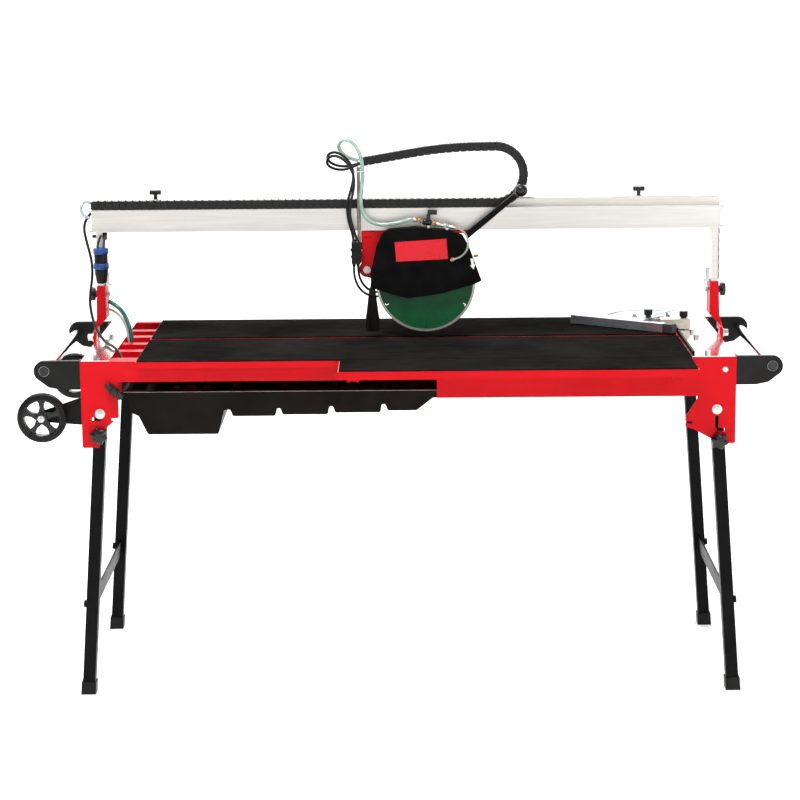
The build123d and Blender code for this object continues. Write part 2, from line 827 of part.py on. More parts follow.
def star_places():
    """Where the leg clamp knobs sit, on the leg's middle line."""
    lean = tan(radians(splay_degrees))
    left = (-half_length + pivot_inset - left_star_drop * lean, pivot_z - left_star_drop)
    right = (half_length - pivot_inset + right_star_drop * lean, pivot_z - right_star_drop)
    return [left, right]


def make_star_knob(x, z):
    front = -star_standoff - star_thickness
    knob = rod_y(star_r, front, -star_standoff, x, z)
    knob -= ring_of(star_lobes, star_r + star_notch_r / 2, x, z, front, -star_standoff, star_notch_r)
    knob += rod_y(star_hub_r, -star_standoff, -side_clearance, x, z)
    return knob + rod_y(star_stud_r, front + 1, sheet + leg_panel_gap - stud_leg_gap, x, z)


# ---- extension table ----
def arm_places():
    return [extension_left + arm_inset, extension_right - arm_inset]


def make_extension_table():
    y1 = -table_overhang - extension_gap
    y0 = y1 - extension_depth
    low = table_top - extension_lip
    table = block(extension_left, extension_right, y0, y1, table_z, frame_top)
    table += block(extension_left, extension_right, y0, y0 + table_sheet, low, frame_top)
    for x0 in (extension_left, extension_right - table_sheet):
        table += block(x0, x0 + table_sheet, y0, y1, low, frame_top)
    for x in arm_places():
        table += block(x - arm_block / 2, x + arm_block / 2, y1 - arm_block, y1, arm_z - arm_tube_r, table_z)
        table += rod_y(arm_tube_r, y1 - 1, y1 + arm_length, x, arm_z)
        table -= rod_y(arm_tube_r - arm_tube_wall, y1 + 1, y1 + arm_length + 1, x, arm_z)
        for dx in (-extension_bolt_spread, extension_bolt_spread):
            table += rod_z(deck_bolt_r - 2, arm_z - arm_tube_r - front_screw_length, arm_z - arm_tube_r,
                           x + dx, y1 - arm_block / 2)
    return table


def make_extension_mat():
    y1 = -table_overhang - extension_gap
    return block(extension_left + mat_inset, extension_right - mat_inset, y1 - extension_depth + mat_inset, y1,
                 frame_top, table_top)


# ---- fence ----
def block_base():
    return table_top + block_lift


def make_fence_block():
    """Sliding block with its groove over the side stop, and the arm under the fence's pivot."""
    z0 = block_base()
    z1 = z0 + block_height
    body = block(block_left, block_right, block_front, block_rear, z0, z1)
    stop_left = table_right + stop_gap - groove_clearance
    stop_right = table_right + stop_gap + stop_width + groove_clearance
    body -= block(stop_left, stop_right, block_front - 1, block_rear + 1, z0 - 1,
                  frame_top + deck_thickness + stop_height + groove_clearance)
    px, py = fence_pivot
    arm_top = z1 - fence_plate_thickness - groove_clearance
    body += block(px - base_arm_width / 2, block_left + 1, py - base_arm_width / 2, block_rear, z0, arm_top)
    body += rod_z(base_arm_width / 2, z0, arm_top, px, py)
    body += rod_z(fence_stud_r, z0, z1 + fence_knob_height - fence_knob_cap, px, py)
    return body - rod_z(fence_stud_r + running_clearance, z0 - 1, z1 + 1, block_knob_x(), block_knob_y())


def block_knob_x():
    return block_right - (block_right - table_right) / 4 - stop_width


def block_knob_y():
    return (block_front + block_rear) / 2


def round_knob(x, y, z0, hole_r):
    """A small clamp knob on a collar; hole_r is its bore over a stud, or 0 for its own stud."""
    z1 = z0 + fence_knob_height
    knob = rod_z(fence_knob_r, z0 + 4, z1, x, y) + rod_z(fence_knob_r / 2 + 2, z0, z0 + 5, x, y)
    knob = knob - [rod_z(2.0, z0, z1, x + (fence_knob_r + 1) * cos(radians(45 * i)),
                         y + (fence_knob_r + 1) * sin(radians(45 * i))) for i in range(8)]
    return knob - rod_z(hole_r, z0 - 1, z1 - fence_knob_cap + 1, x, y) if hole_r else knob


def make_fence_block_knob():
    top = block_base() + block_height
    knob = round_knob(block_knob_x(), block_knob_y(), top + groove_clearance, 0)
    return knob + rod_z(fence_stud_r, block_base() + 1, top + fence_knob_height / 2, block_knob_x(), block_knob_y())


def make_fence_bar():
    """Square bar with the quadrant plate welded behind it, turned about the fence's pivot."""
    top = block_base() + block_height
    plate_z0 = top - fence_plate_thickness
    half = fence_bar_size / 2
    y_bar = fence_bar_offset
    x0 = -fence_bar_start
    x1 = fence_bar_length - fence_bar_start
    bar = block(x0, x1, y_bar, y_bar + fence_bar_size, top - fence_bar_size, top)
    bar -= block(x0 + fence_bar_wall, x1 + 1, y_bar + fence_bar_wall, y_bar + fence_bar_size - fence_bar_wall,
                 top - fence_bar_size + fence_bar_wall, top - fence_bar_wall)
    bar += block(x1 - half, x1, y_bar, y_bar + fence_bar_size, top - fence_bar_size, top)
    sector = Pos(0, 0, plate_z0) * Cylinder(fence_plate_r, fence_plate_thickness,
                                            align=(Align.CENTER, Align.CENTER, Align.MIN))
    sector &= block(0, fence_plate_r, -fence_plate_r, y_bar, plate_z0, top)
    sector += block(-base_arm_width / 2, 1, -base_arm_width / 2, y_bar, plate_z0, top)
    bar += sector - fence_arc(plate_z0 - 1, top + 1)
    bar -= rod_z(fence_stud_r + running_clearance, plate_z0 - 1, top + 1, 0, 0)
    px, py = fence_pivot
    return Pos(px, py, 0) * Rot(0, 0, fence_angle) * bar


def fence_arc(z0, z1):
    """The arc slot of the quadrant plate, about the fence's pivot."""
    arc = rod_z(fence_arc_r + fence_arc_width / 2, z0, z1, 0, 0) - rod_z(fence_arc_r - fence_arc_width / 2, z0, z1, 0, 0)
    inset = 2 * fence_arc_width
    return arc & block(inset, fence_plate_r, -fence_plate_r, fence_bar_offset - inset, z0, z1)


def make_fence_angle_knob():
    px, py = fence_pivot
    return round_knob(px, py, block_base() + block_height + groove_clearance, fence_stud_r + running_clearance)


# ---- water tray ----
def tray_profile():
    """Bottom line of the tray in x and z, from its left rim to its right rim."""
    line = [(tray_left, tray_rim)] + sump_shoulder + [(sump_left, tray_sump), (sump_right, tray_sump)]
    starts = [sump_notch_left] + [end + rib_shoulder / 2 for end in cell_ends]
    for i, floor in enumerate(cell_floors):
        ridge = floor + rib_rise
        line += [(starts[i], ridge), (cell_starts[i] - rib_shoulder, ridge), (cell_starts[i], floor), (cell_ends[i], floor)]
    return line + [(tray_slope_x, tray_slope_z), (tray_right - 4, tray_end_z), (tray_right, tray_rim)]


def tray_face(y):
    """The tray's outline at one y, with rounded moulded corners below its rim."""
    face = front_face(tray_profile(), y).face()
    return face.fillet_2d(tray_round, [v for v in face.vertices() if v.Z < tray_rim - tray_wall])


def make_water_tray():
    y1 = frame_depth - tray_rear_inset
    outer = extrude(tray_face(y1), y1 - tray_front)
    inner_face = offset(tray_face(y1 - tray_wall), -tray_wall)
    hollow = extrude(inner_face, y1 - tray_front - 2 * tray_wall)
    hollow += block(tray_left + tray_wall, tray_right - tray_wall, tray_front + tray_wall, y1 - tray_wall,
                    tray_rim - 2 * tray_wall, tray_rim + 1)
    lip = block(tray_left - tray_lip, tray_right + tray_lip, tray_front - tray_lip, y1 + tray_lip,
                tray_rim - tray_wall, tray_rim)
    lip -= block(tray_left + 1, tray_right - 1, tray_front + 1, y1 - 1, tray_rim - 2 * tray_wall, tray_rim + 1)
    return (outer - hollow) + lip


def make_tray_knob():
    x = -half_length + wing_inset
    front = -side_clearance - wing_thickness
    knob = rod_y(wing_r, front, -side_clearance, x, wing_z)
    knob += block(x - wing_r + 2, x + wing_r - 2, front - wing_grip_height, front + 1, wing_z - 4, wing_z + 4)
    return knob + rod_y(star_stud_r, front + 1, wing_stud, x, wing_z)


def make_pump():
    body = block(pump_x - pump_length / 2, pump_x + pump_length / 2, pump_y - pump_width / 2, pump_y + pump_width / 2,
                 pump_z, pump_z + pump_height)
    body = fillet(body.edges().filter_by(Axis.Z), edge_radius)
    top = pump_z + pump_height
    outlet_x = pump_x - pump_length / 4
    body += rod_z(pump_outlet_r, top - 1, top + pump_outlet_height + pump_outlet_r, outlet_x, pump_y)
    body += rod_x(pump_outlet_r - 3, outlet_x - pump_barb, outlet_x, pump_y, top + pump_outlet_height)
    body += rod_z(pump_outlet_r - 2, top - 1, top + 4, outlet_x - 4, pump_y + 2 * pump_outlet_r + 2)
    hanger_y = rail_centres[2]
    body += block(pump_x + pump_hanger_width, pump_x + 2 * pump_hanger_width, hanger_y - pump_hanger_thickness,
                  hanger_y, top - 1, table_z - rail_height)
    return body


# ---- bevel towers ----
def channel_inner():
    return half_length - channel_inner_inset


def make_tower_arm(side):
    web = channel_inner()
    ear = half_length + arm_frame_gap
    drop = ear - web
    low = channel_bottom - drop
    outline = [(web, channel_top), (web, channel_bottom), (ear, low), (ear, bevel_z),
               (ear + arm_plate, bevel_z), (ear + arm_plate, low + 2), (web + arm_plate, channel_bottom + 2),
               (web + arm_plate, channel_top)]
    arm = front_plate([(side * x, z) for x, z in outline], channel_front, channel_rear)
    lug = [(arm_ear_rear, low + 6), (arm_ear_rear, low - 4), (blade_y + arm_ear_r, bevel_z - arm_ear_r / 2),
           (blade_y, bevel_z - arm_ear_r), (blade_y - arm_ear_r, bevel_z), (channel_front, low + 6)]
    x0, x1 = sorted((side * ear, side * (ear + arm_plate)))
    arm += side_plate(lug, x0, x1) + rod_x(arm_ear_r, x0, x1, blade_y, bevel_z)
    flange_outline = [(web, channel_top), (web, channel_bottom), (ear, low), (ear + arm_plate, low),
                      (ear - 2, channel_bottom), (ear - 5, channel_top)]
    for y in (channel_front, channel_rear - arm_plate):
        arm += front_plate([(side * x, z) for x, z in flange_outline], y, y + arm_plate)
    arm -= rod_x(bolt_r + running_clearance, side * (ear - 1), side * (ear + arm_plate + 1), blade_y, bevel_z)
    hole = clamp_r + running_clearance
    return arm - rod_x(hole, side * (web - 1), side * (web + arm_plate + 1), clamp_y, clamp_z)


def make_tower_arms():
    return group([make_tower_arm(-1), make_tower_arm(1)])


def make_uprights():
    """Beam end uprights, standing inside the channels of the tower arms."""
    inner = channel_inner() + arm_plate
    y0 = channel_front + arm_plate + upright_fit
    y1 = channel_rear - arm_plate - upright_fit
    pieces = []
    for side in (-1, 1):
        x0, x1 = sorted((side * inner, side * (inner + upright_thickness)))
        bar = block(x0, x1, y0, y1, upright_bottom, beam_bottom)
        pieces.append(bar - rod_x(clamp_r + running_clearance, x0 - 1, x1 + 1, clamp_y, clamp_z))
    return group(pieces)


def make_tower_screws():
    """Clamp studs, height screws with their nuts, and the beam's end screws."""
    web = channel_inner()
    outer = web + arm_plate + upright_thickness
    pieces = []
    for side in (-1, 1):
        stud = rod_x(clamp_r, side * web, side * (outer + knob_hub), clamp_y, clamp_z)
        pieces.append(stud + rod_x(clamp_head_r, side * (web - clamp_head), side * web, clamp_y, clamp_z))
        x = side * (web - height_nut_r * 2 / 3)
        screw = rod_z(height_screw_r, channel_top, channel_top + height_screw_length, x, height_screw_y)
        screw += rod_z(screw_head_r, channel_top + height_screw_length - screw_head,
                       channel_top + height_screw_length, x, height_screw_y)
        screw += hex_z(height_nut_r, channel_top, channel_top + height_nut, x, height_screw_y)
        pieces.append(screw)
    mid_y = beam_front + beam_wall / 2
    for z in (beam_ledge - beam_floor / 2, beam_bottom + beam_floor):
        end_y = mid_y + end_screw_r
        pieces.append(rod_x(end_screw_r, beam_left - end_screw_length, beam_left, end_y, z))
        pieces.append(rod_x(end_screw_r, beam_right, beam_right + end_screw_length, end_y, z))
    return group(pieces)


def make_clamp_knob(side):
    """Fluted knob with a bore that runs on the clamp stud."""
    start = channel_inner() + arm_plate + upright_thickness + side_clearance
    hub_end = start + knob_hub
    end = hub_end + knob_thickness
    knob = rod_x(knob_hub_r, side * start, side * hub_end, clamp_y, clamp_z)
    body = rod_x(knob_r, side * hub_end, side * end, clamp_y, clamp_z)
    cutters = []
    for i in range(knob_flutes):
        turn = radians(360 / knob_flutes * i)
        cutters.append(rod_x(knob_flute_r, side * hub_end, side * end, clamp_y + (knob_r + 1) * cos(turn),
                             clamp_z + (knob_r + 1) * sin(turn)))
    knob += body - cutters
    return knob - rod_x(clamp_r + running_clearance, side * (start - 1), side * hub_end, clamp_y, clamp_z)


def make_connector():
    """Power connector hung on the left tower, with its clip to the tower arm."""
    top = connector_bottom + connector_length
    body = rod_z(connector_r, connector_bottom, top, connector_x, connector_y)
    for z in (top - connector_ring - 2.5 * connector_ring, top - connector_ring):
        body += rod_z(connector_ring_r, z, z + connector_ring, connector_x, connector_y)
    clip_z = top - 2 * connector_ring
    edge = -channel_inner() - arm_plate
    upright_front = channel_front + arm_plate + upright_fit
    return body + block(edge - connector_clip_reach, edge, connector_y, upright_front - side_clearance / 2,
                        clip_z, clip_z + connector_clip)


# ---- beam ----
def make_beam():
    y0 = beam_front
    y1 = beam_front + beam_depth
    outline = [(y0, beam_bottom), (y1, beam_bottom), (y1, beam_top), (rib_front, beam_top),
               (rib_front, beam_ledge), (y0, beam_ledge)]
    beam = side_plate(outline, beam_left, beam_right)
    beam = fillet(beam.edges().filter_by(Axis.X).sort_by(Axis.Z)[-2:], beam_round)
    beam -= block(beam_left - 1, beam_right + 1, y0 + beam_wall, y1 - beam_wall, beam_bottom + beam_floor,
                  beam_ledge - beam_floor)
    beam -= block(beam_left - 1, beam_right + 1, rib_front + beam_wall, y1 - beam_wall, beam_ledge + beam_wall,
                  beam_top - beam_wall)
    middle = (y0 + y1) / 2
    beam -= block(beam_left - 1, beam_right + 1, middle - track_slot / 2, middle + track_slot / 2,
                  beam_bottom - 1, beam_bottom + beam_floor + 1)
    groove_z = beam_bottom + groove_up
    return beam - block(beam_left - 1, beam_right + 1, y0 - 1, y0 + groove_depth, groove_z, groove_z + groove_height)


def make_stop_screws():
    y = (rib_front + beam_front + beam_depth) / 2
    pieces = []
    for x in stop_screw_places:
        neck_top = beam_top + stop_screw_neck
        screw = rod_z(stop_screw_r, beam_top, neck_top, x, y)
        screw += block(x - stop_head_length / 2, x + stop_head_length / 2, y - stop_head_width / 2,
                       y + stop_head_width / 2, neck_top - 1, neck_top + stop_head_height)
        pieces.append(screw)
    return group(pieces)


# ---- energy chain ----
def chain_y():
    return beam_front + 1, beam_front + 1 + chain_width


def chain_base():
    return beam_ledge + chain_bed_gap


def chain_centre_z():
    return chain_base() + chain_height / 2 + chain_radius


def make_chain_lower():
    y0, y1 = chain_y()
    return block(beam_left, chain_loop_x - chain_bed_gap, y0, y1, chain_base(), chain_base() + chain_height)


def make_chain_loop():
    y0, y1 = chain_y()
    outer = chain_radius + chain_height / 2
    loop = rod_y(outer, y0, y1, chain_loop_x, chain_centre_z())
    loop -= rod_y(chain_radius - chain_height / 2, y0 - 1, y1 + 1, chain_loop_x, chain_centre_z())
    return loop & block(chain_loop_x, chain_loop_x + 2 * outer, y0, y1, 0, 2 * beam_top)


def make_chain_upper():
    """Upper run from the loop to the chain's moving end, sagging a little."""
    y0, y1 = chain_y()
    middle = (y0 + y1) / 2
    top = chain_centre_z() + chain_radius
    start = (chain_loop_x - chain_bed_gap, middle, top)
    knee = (chain_sag_point[0], middle, top)
    end = (chain_end[0], middle, chain_end[1])
    path = FilletPolyline(start, knee, end, radius=chain_sag_radius)
    section = Plane(origin=start, x_dir=(0, 1, 0), z_dir=(-1, 0, 0)) * Rectangle(chain_width, chain_height)
    return sweep(section, path)


# ---- carriage ----
def beam_middle():
    return beam_front + beam_depth / 2


def make_trolley():
    """Trolley bar with two necks through the beam's slot, and four rollers on its sides."""
    middle = beam_middle()
    track = beam_bottom + beam_floor
    axle_z = track + roller_r + roller_gap
    bar = block(trolley_left, trolley_right, middle - trolley_width / 2, middle + trolley_width / 2,
                axle_z - trolley_height / 2, axle_z + trolley_height / 2)
    low = beam_bottom - bracket_gap
    for x0 in (trolley_left, trolley_right - neck_length):
        bar += block(x0, x0 + neck_length, middle - neck_width / 2, middle + neck_width / 2, low, axle_z)
    pieces = [bar]
    half = trolley_width / 2 + roller_gap
    for x in (trolley_left + roller_inset, trolley_right - roller_inset):
        pieces.append(rod_y(roller_r, middle - half - roller_width, middle - half, x, axle_z))
        pieces.append(rod_y(roller_r, middle + half, middle + half + roller_width, x, axle_z))
    return group(pieces)


def make_carriage_bracket():
    """Top plate under the beam, with the hanging cheek that carries the plunge pivot."""
    high = beam_bottom - bracket_gap
    low = high - bracket_plate
    middle = beam_middle()
    plate = block(bracket_left, trolley_right, bracket_front_y, middle + trolley_width, low, high)
    cheek = [(bracket_left, high), (bracket_left, bracket_bottom), (swing_x + swing_boss_r, bracket_bottom),
             (bracket_right, low - bracket_plate * 4), (bracket_right, high)]
    plate += front_plate(cheek, bracket_front_y, bracket_front_y + bracket_plate)
    plate += block(gland_left + 4, bracket_left + 1, bracket_front_y, bracket_front_y + bracket_plate,
                   gland_bottom + 8, gland_top - 8)
    return plate - rod_y(swing_pin_r, bracket_front_y - 1, bracket_front_y + bracket_plate + 1, swing_x, swing_z)


def make_chain_post():
    """Rod from the gland block up to the plate that holds the chain's moving end."""
    post = rod_z(post_r, gland_top, post_top, post_x, post_y)
    y1 = chain_y()[1]
    under = chain_end[1] - chain_height / 2 - 2
    post += rod_z(post_r, post_top - 1, under, post_x, post_y)
    plate = block(post_x - post_r, chain_end[0] + post_r, post_y - post_r, y1, under - 3, under)
    return post + plate


def make_cable_gland():
    body = block(gland_left, gland_right, gland_front, bracket_front_y, gland_bottom, gland_top)
    body += block(gland_right - 1, post_x + post_r + 2, post_y - post_r - 4, bracket_front_y,
                  gland_top - 12, gland_top)
    for z in (gland_bottom + 14, gland_bottom + 32):
        body += block(gland_left - 2, gland_right, gland_front - 2, gland_front + 1, z, z + 5)
    return body


def make_swing_pin():
    y1 = swing_front + swing_thickness + side_clearance + washer_thickness
    pin = rod_y(swing_pin_r, bracket_front_y - swing_head, y1, swing_x, swing_z)
    return pin + rod_y(swing_head_r, bracket_front_y - swing_head, bracket_front_y - 0.01, swing_x, swing_z)


# ---- cutting unit ----
def make_plunge_arm():
    """Cast arm from the plunge pivot to the spindle, with the neck that carries the guard."""
    y0 = swing_front
    y1 = swing_front + swing_thickness
    outline = [(swing_x, swing_z + swing_boss_r), (blade_x, blade_z + spindle_boss_r),
               (blade_x, blade_z - spindle_boss_r), (swing_x, swing_z - swing_boss_r)]
    arm = front_plate(outline, y0, y1)
    arm += rod_y(swing_boss_r, y0, y1, swing_x, swing_z)
    arm += rod_y(spindle_boss_r, y0, y1, blade_x, blade_z)
    arm += rod_y(neck_r, guard_rear, y0 + 1, blade_x, blade_z)
    arm -= rod_y(swing_pin_r + running_clearance, y0 - 1, y1 + 1, swing_x, swing_z)
    return arm - rod_y(spindle_r + running_clearance, guard_rear - 1, y1 + 1, blade_x, blade_z)


def make_motor():
    y0 = swing_front + swing_thickness
    y1 = y0 + motor_length
    motor = rod_y(motor_r, y0, y1, blade_x, blade_z)
    fins = []
    for i in range(motor_fins):
        turn = 360 / motor_fins * i
        slot = block(-fin_width / 2, fin_width / 2, y0 + 20, y1 - 30, motor_r - fin_depth, motor_r + fin_depth)
        fins.append(Pos(blade_x, 0, blade_z) * Rot(0, turn, 0) * slot)
    motor -= fins
    length, depth, height = terminal_box
    motor += block(blade_x - length / 2, blade_x + length / 2, y0 + 60, y0 + 60 + depth,
                   blade_z + motor_r - 10, blade_z + motor_r - 10 + height)
    return motor - rod_y(spindle_r + running_clearance, y0 - 1, y0 + 20, blade_x, blade_z)


def make_blade_guard():
    """Guard shell, open below and pierced at the back for the spindle."""
    face = front_face(guard_outline, guard_rear)
    upper = [v for v in face.vertices() if v.Z > blade_z + blade_r / 4]
    face = fillet(upper, guard_round)
    shell = extrude(face, guard_rear - guard_front)
    inner_face = offset(face, -guard_wall)
    cavity = extrude(inner_face, guard_rear - guard_front)
    depth = guard_rear - guard_front - 2 * guard_wall
    cavity &= block(-frame_length, frame_length, guard_front + guard_wall, guard_rear - guard_wall, 0, 2 * beam_top)
    shell -= cavity
    mouth = block(blade_x - blade_r - 6, blade_x + blade_r + 4, guard_front + guard_wall,
                  guard_front + guard_wall + depth, blade_z - guard_open_drop * 2, blade_z + 4)
    shell -= mouth
    return shell - rod_y(guard_hole_r, guard_rear - 2 * guard_wall, guard_rear + 1, blade_x, blade_z)


def make_splash_brush():
    return front_plate(brush_outline, brush_front, brush_rear)


def make_plunge_handle():
    """Flat lever from the guard's shoulder to the ball."""
    fx, fz = lever_foot
    bx, bz = ball_centre
    length = sqrt((bx - fx) ** 2 + (bz - fz) ** 2)
    nx = -(bz - fz) / length * lever_width / 2
    nz = (bx - fx) / length * lever_width / 2
    outline = [(fx + nx, fz + nz), (bx + nx, bz + nz), (bx - nx, bz - nz), (fx - nx, fz - nz)]
    lever = front_plate(outline, ball_y - lever_thickness / 2, ball_y + lever_thickness / 2)
    lever += Pos(bx, ball_y, bz) * Sphere(ball_r)
    outside = front_face(guard_outline, guard_rear + 1)
    return lever - extrude(fillet([v for v in outside.vertices() if v.Z > blade_z + blade_r / 4], guard_round),
                           guard_rear - guard_front + 2)


def valve_axis():
    """Unit direction of the valve in x and z, and its length."""
    dx = valve_end[0] - valve_start[0]
    dz = valve_end[1] - valve_start[1]
    length = sqrt(dx * dx + dz * dz)
    return dx / length, dz / length, length


def valve_rod(r, start, end):
    ux, uz, _ = valve_axis()
    origin = (valve_start[0] + ux * start, valve_y, valve_start[1] + uz * start)
    plane = Plane(origin=origin, x_dir=(0, 1, 0), z_dir=(ux, 0, uz))
    return extrude(plane * Circle(r), end - start)


def valve_middle():
    ux, uz, length = valve_axis()
    return valve_start[0] + ux * length / 3, valve_start[1] + uz * length / 3


def make_valve_body():
    """Valve body with its pipe, unions, post to the guard, nozzle screws and the thin water tube."""
    _, _, length = valve_axis()
    mid = length / 3
    half = valve_body_length / 2
    body = valve_rod(valve_pipe_r, 0, length) + valve_rod(valve_body_r, mid - half, mid + half)
    body += valve_rod(valve_nut_r, mid + half, mid + half + valve_nut)
    body += valve_rod(valve_nut_r, 4, 4 + valve_nut) + valve_rod(valve_nut_r, length - valve_nut, length)
    vx, vz = valve_middle()
    body += rod_z(valve_stem_r, guard_outline[5][1] - 2, vz, vx, valve_y)
    tube = cord_tube("water_tube", water_tube_route, water_tube_d)
    nozzles = [rod_y(nozzle_r, guard_front - nozzle_length, guard_front - 0.01, x, z) for x, z in nozzle_places]
    outline = front_plate(guard_outline, guard_front, guard_rear)
    return group([body - outline, tube, nozzles[1]])


def make_valve_lever():
    vx, vz = valve_middle()
    z0 = vz + valve_body_r + valve_lever_gap
    lever = rod_z(valve_stem_r + 2, z0, z0 + valve_stem - 3, vx, valve_y)
    z1 = z0 + valve_stem - 3
    return lever + block(vx - valve_lever_width / 2, vx + valve_lever_length, valve_y - valve_lever_width / 2,
                         valve_y + valve_lever_width / 2, z1 - 1, z1 - 1 + valve_lever_thickness)


def make_blade():
    half = blade_thickness / 2
    blade = rod_y(blade_r - blade_rim, blade_y - half, blade_y + half, blade_x, blade_z)
    rim = rod_y(blade_r, blade_y - blade_rim_thickness / 2, blade_y + blade_rim_thickness / 2, blade_x, blade_z)
    rim -= rod_y(blade_r - blade_rim, blade_y - 3, blade_y + 3, blade_x, blade_z)
    blade += rim
    slots = []
    for i in range(blade_slots):
        top = blade_r - blade_rim - 2 * blade_slot_width
        cut = block(-blade_slot_width / 2, blade_slot_width / 2, blade_y - 3, blade_y + 3, top - blade_slot_length, top)
        cut += block(0, blade_slot_foot, blade_y - 3, blade_y + 3, top - blade_slot_width, top)
        slots.append(Pos(blade_x, 0, blade_z) * Rot(0, 360 / blade_slots * i, 0) * cut)
    blade -= slots
    return blade - rod_y(blade_bore_r, blade_y - 3, blade_y + 3, blade_x, blade_z)


def make_spindle():
    """Spindle with the inner flange, the outer flange and the nut."""
    half = blade_thickness / 2
    back = blade_y + half
    shaft = rod_y(spindle_r, back, swing_front + swing_thickness + 18, blade_x, blade_z)
    shaft += rod_y(flange_r, back, back + flange_thickness, blade_x, blade_z)
    front = blade_y - half
    outer = rod_y(flange_r, front - flange_thickness, front, blade_x, blade_z)
    outer += rod_y(blade_bore_r - 0.1, front - 1, back - 0.05, blade_x, blade_z)
    nut = hex_y(nut_r, front - flange_thickness - nut_height + 1.5, front - flange_thickness, blade_x, blade_z)
    return group([shaft, outer, nut])


def nodes():
    """Every node's name and its solids, in the drawing frame."""
    (left_star, right_star) = star_places()
    (front_wheel, _), (rear_wheel, _) = wheel_places()
    return {
        "front_frame_panel": make_front_frame_panel(),
        "rear_frame_panel": make_rear_frame_panel(),
        "end_plates": make_end_plates(),
        "deck_plates": make_deck_plates(),
        "table_rails": make_table_rails(),
        "front_table": make_front_table(),
        "rear_table": make_rear_table(),
        "table_mats": make_table_mats(),
        "side_stops": make_side_stops(),
        "frame_bolts": make_frame_bolts(),
        "end_brackets": make_end_brackets(),
        "handle_tubes": make_handle_tubes(),
        "pump": make_pump(),
        "front_wheel": make_wheel(front_wheel),
        "rear_wheel": make_wheel(rear_wheel),
        "left_leg_frame": make_leg_frame(-1),
        "right_leg_frame": make_leg_frame(1),
        "left_feet": make_feet(-1),
        "right_feet": make_feet(1),
        "left_star_knob": make_star_knob(*left_star),
        "right_star_knob": make_star_knob(*right_star),
        "extension_table": make_extension_table(),
        "extension_mat": make_extension_mat(),
        "fence_block": make_fence_block(),
        "fence_block_knob": make_fence_block_knob(),
        "fence_bar": make_fence_bar(),
        "fence_angle_knob": make_fence_angle_knob(),
        "water_tray": make_water_tray(),
        "tray_knob": make_tray_knob(),
        "beam": make_beam(),
        "uprights": make_uprights(),
        "tower_arms": make_tower_arms(),
        "tower_screws": make_tower_screws(),
        "left_clamp_knob": make_clamp_knob(-1),
        "right_clamp_knob": make_clamp_knob(1),
        "stop_screws": make_stop_screws(),
        "power_connector": make_connector(),
        "chain_lower": make_chain_lower(),
        "chain_loop": make_chain_loop(),
        "chain_upper": make_chain_upper(),
        "trolley": make_trolley(),
        "carriage_bracket": make_carriage_bracket(),
        "chain_post": make_chain_post(),
        "cable_gland": make_cable_gland(),
        "swing_pin": make_swing_pin(),
        "plunge_arm": make_plunge_arm(),
        "motor": make_motor(),
        "blade_guard": make_blade_guard(),
        "splash_brush": make_splash_brush(),
        "plunge_handle": make_plunge_handle(),
        "valve_body": make_valve_body(),
        "valve_lever": make_valve_lever(),
        "blade": make_blade(),
        "spindle": make_spindle(),
        "head_hose": cord_tube("head_hose", head_hose_route, head_hose_d),
        "head_cables": group([cord_tube("head_cable_a", head_cable_a, head_cable_d),
                              cord_tube("head_cable_b", head_cable_b, head_cable_d)]),
        "motor_cables": group([cord_tube("motor_cable_a", motor_cable_a, motor_cable_d),
                               cord_tube("motor_cable_b", motor_cable_b, motor_cable_d)]),
        "tower_cable": cord_tube("tower_cable", tower_cable_route, tower_cable_d),
        "end_hose": cord_tube("end_hose", end_hose_route, end_hose_d),
        "supply_lines": group([cord_tube("supply_hose", supply_hose_route, supply_hose_d),
                               cord_tube("pump_lead", pump_lead_route, pump_lead_d)]),
    }


def middle_of(parts):
    """The x and y of the middle of the whole machine's box, without its cords."""
    cords = ("head_hose", "head_cables", "motor_cables", "tower_cable", "end_hose", "supply_lines")
    boxes = [part.bounding_box() for name, part in parts.items() if name not in cords]
    x = (min(b.min.X for b in boxes) + max(b.max.X for b in boxes)) / 2
    y = (min(b.min.Y for b in boxes) + max(b.max.Y for b in boxes)) / 2
    return x, y


def main():
    os.makedirs("parts", exist_ok=True)
    parts = nodes()
    x, y = middle_of(parts)
    print("origin in the drawing frame", round(x, 3), round(y, 3))
    for name, part in parts.items():
        solids = [solid.moved(Location((-x, -y, 0))) for solid in part.solids()]
        export_step(solids[0] if len(solids) == 1 else Compound(solids), f"parts/{name}.step")


if __name__ == "__main__":
    main()
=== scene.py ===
import random
from math import cos, pi, radians, sin, sqrt

import bmesh
import bpy
from mathutils import Matrix, Vector


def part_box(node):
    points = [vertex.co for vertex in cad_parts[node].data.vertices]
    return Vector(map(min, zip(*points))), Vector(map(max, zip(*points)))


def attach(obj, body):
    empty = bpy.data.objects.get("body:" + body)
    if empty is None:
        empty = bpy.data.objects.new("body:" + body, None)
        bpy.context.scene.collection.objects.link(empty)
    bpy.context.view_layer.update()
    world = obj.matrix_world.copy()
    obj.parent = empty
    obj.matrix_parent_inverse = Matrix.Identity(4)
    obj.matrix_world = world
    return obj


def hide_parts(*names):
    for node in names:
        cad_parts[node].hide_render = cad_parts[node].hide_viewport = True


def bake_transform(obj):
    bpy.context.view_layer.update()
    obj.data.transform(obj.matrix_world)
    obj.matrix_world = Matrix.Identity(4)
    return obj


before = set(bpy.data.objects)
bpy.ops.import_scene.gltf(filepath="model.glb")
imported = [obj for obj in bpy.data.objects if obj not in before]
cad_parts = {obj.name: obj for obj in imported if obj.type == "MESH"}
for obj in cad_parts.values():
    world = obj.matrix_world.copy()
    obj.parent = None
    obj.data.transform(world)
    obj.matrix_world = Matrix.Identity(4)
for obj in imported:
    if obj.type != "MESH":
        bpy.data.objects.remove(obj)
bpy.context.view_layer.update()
random.seed(7)

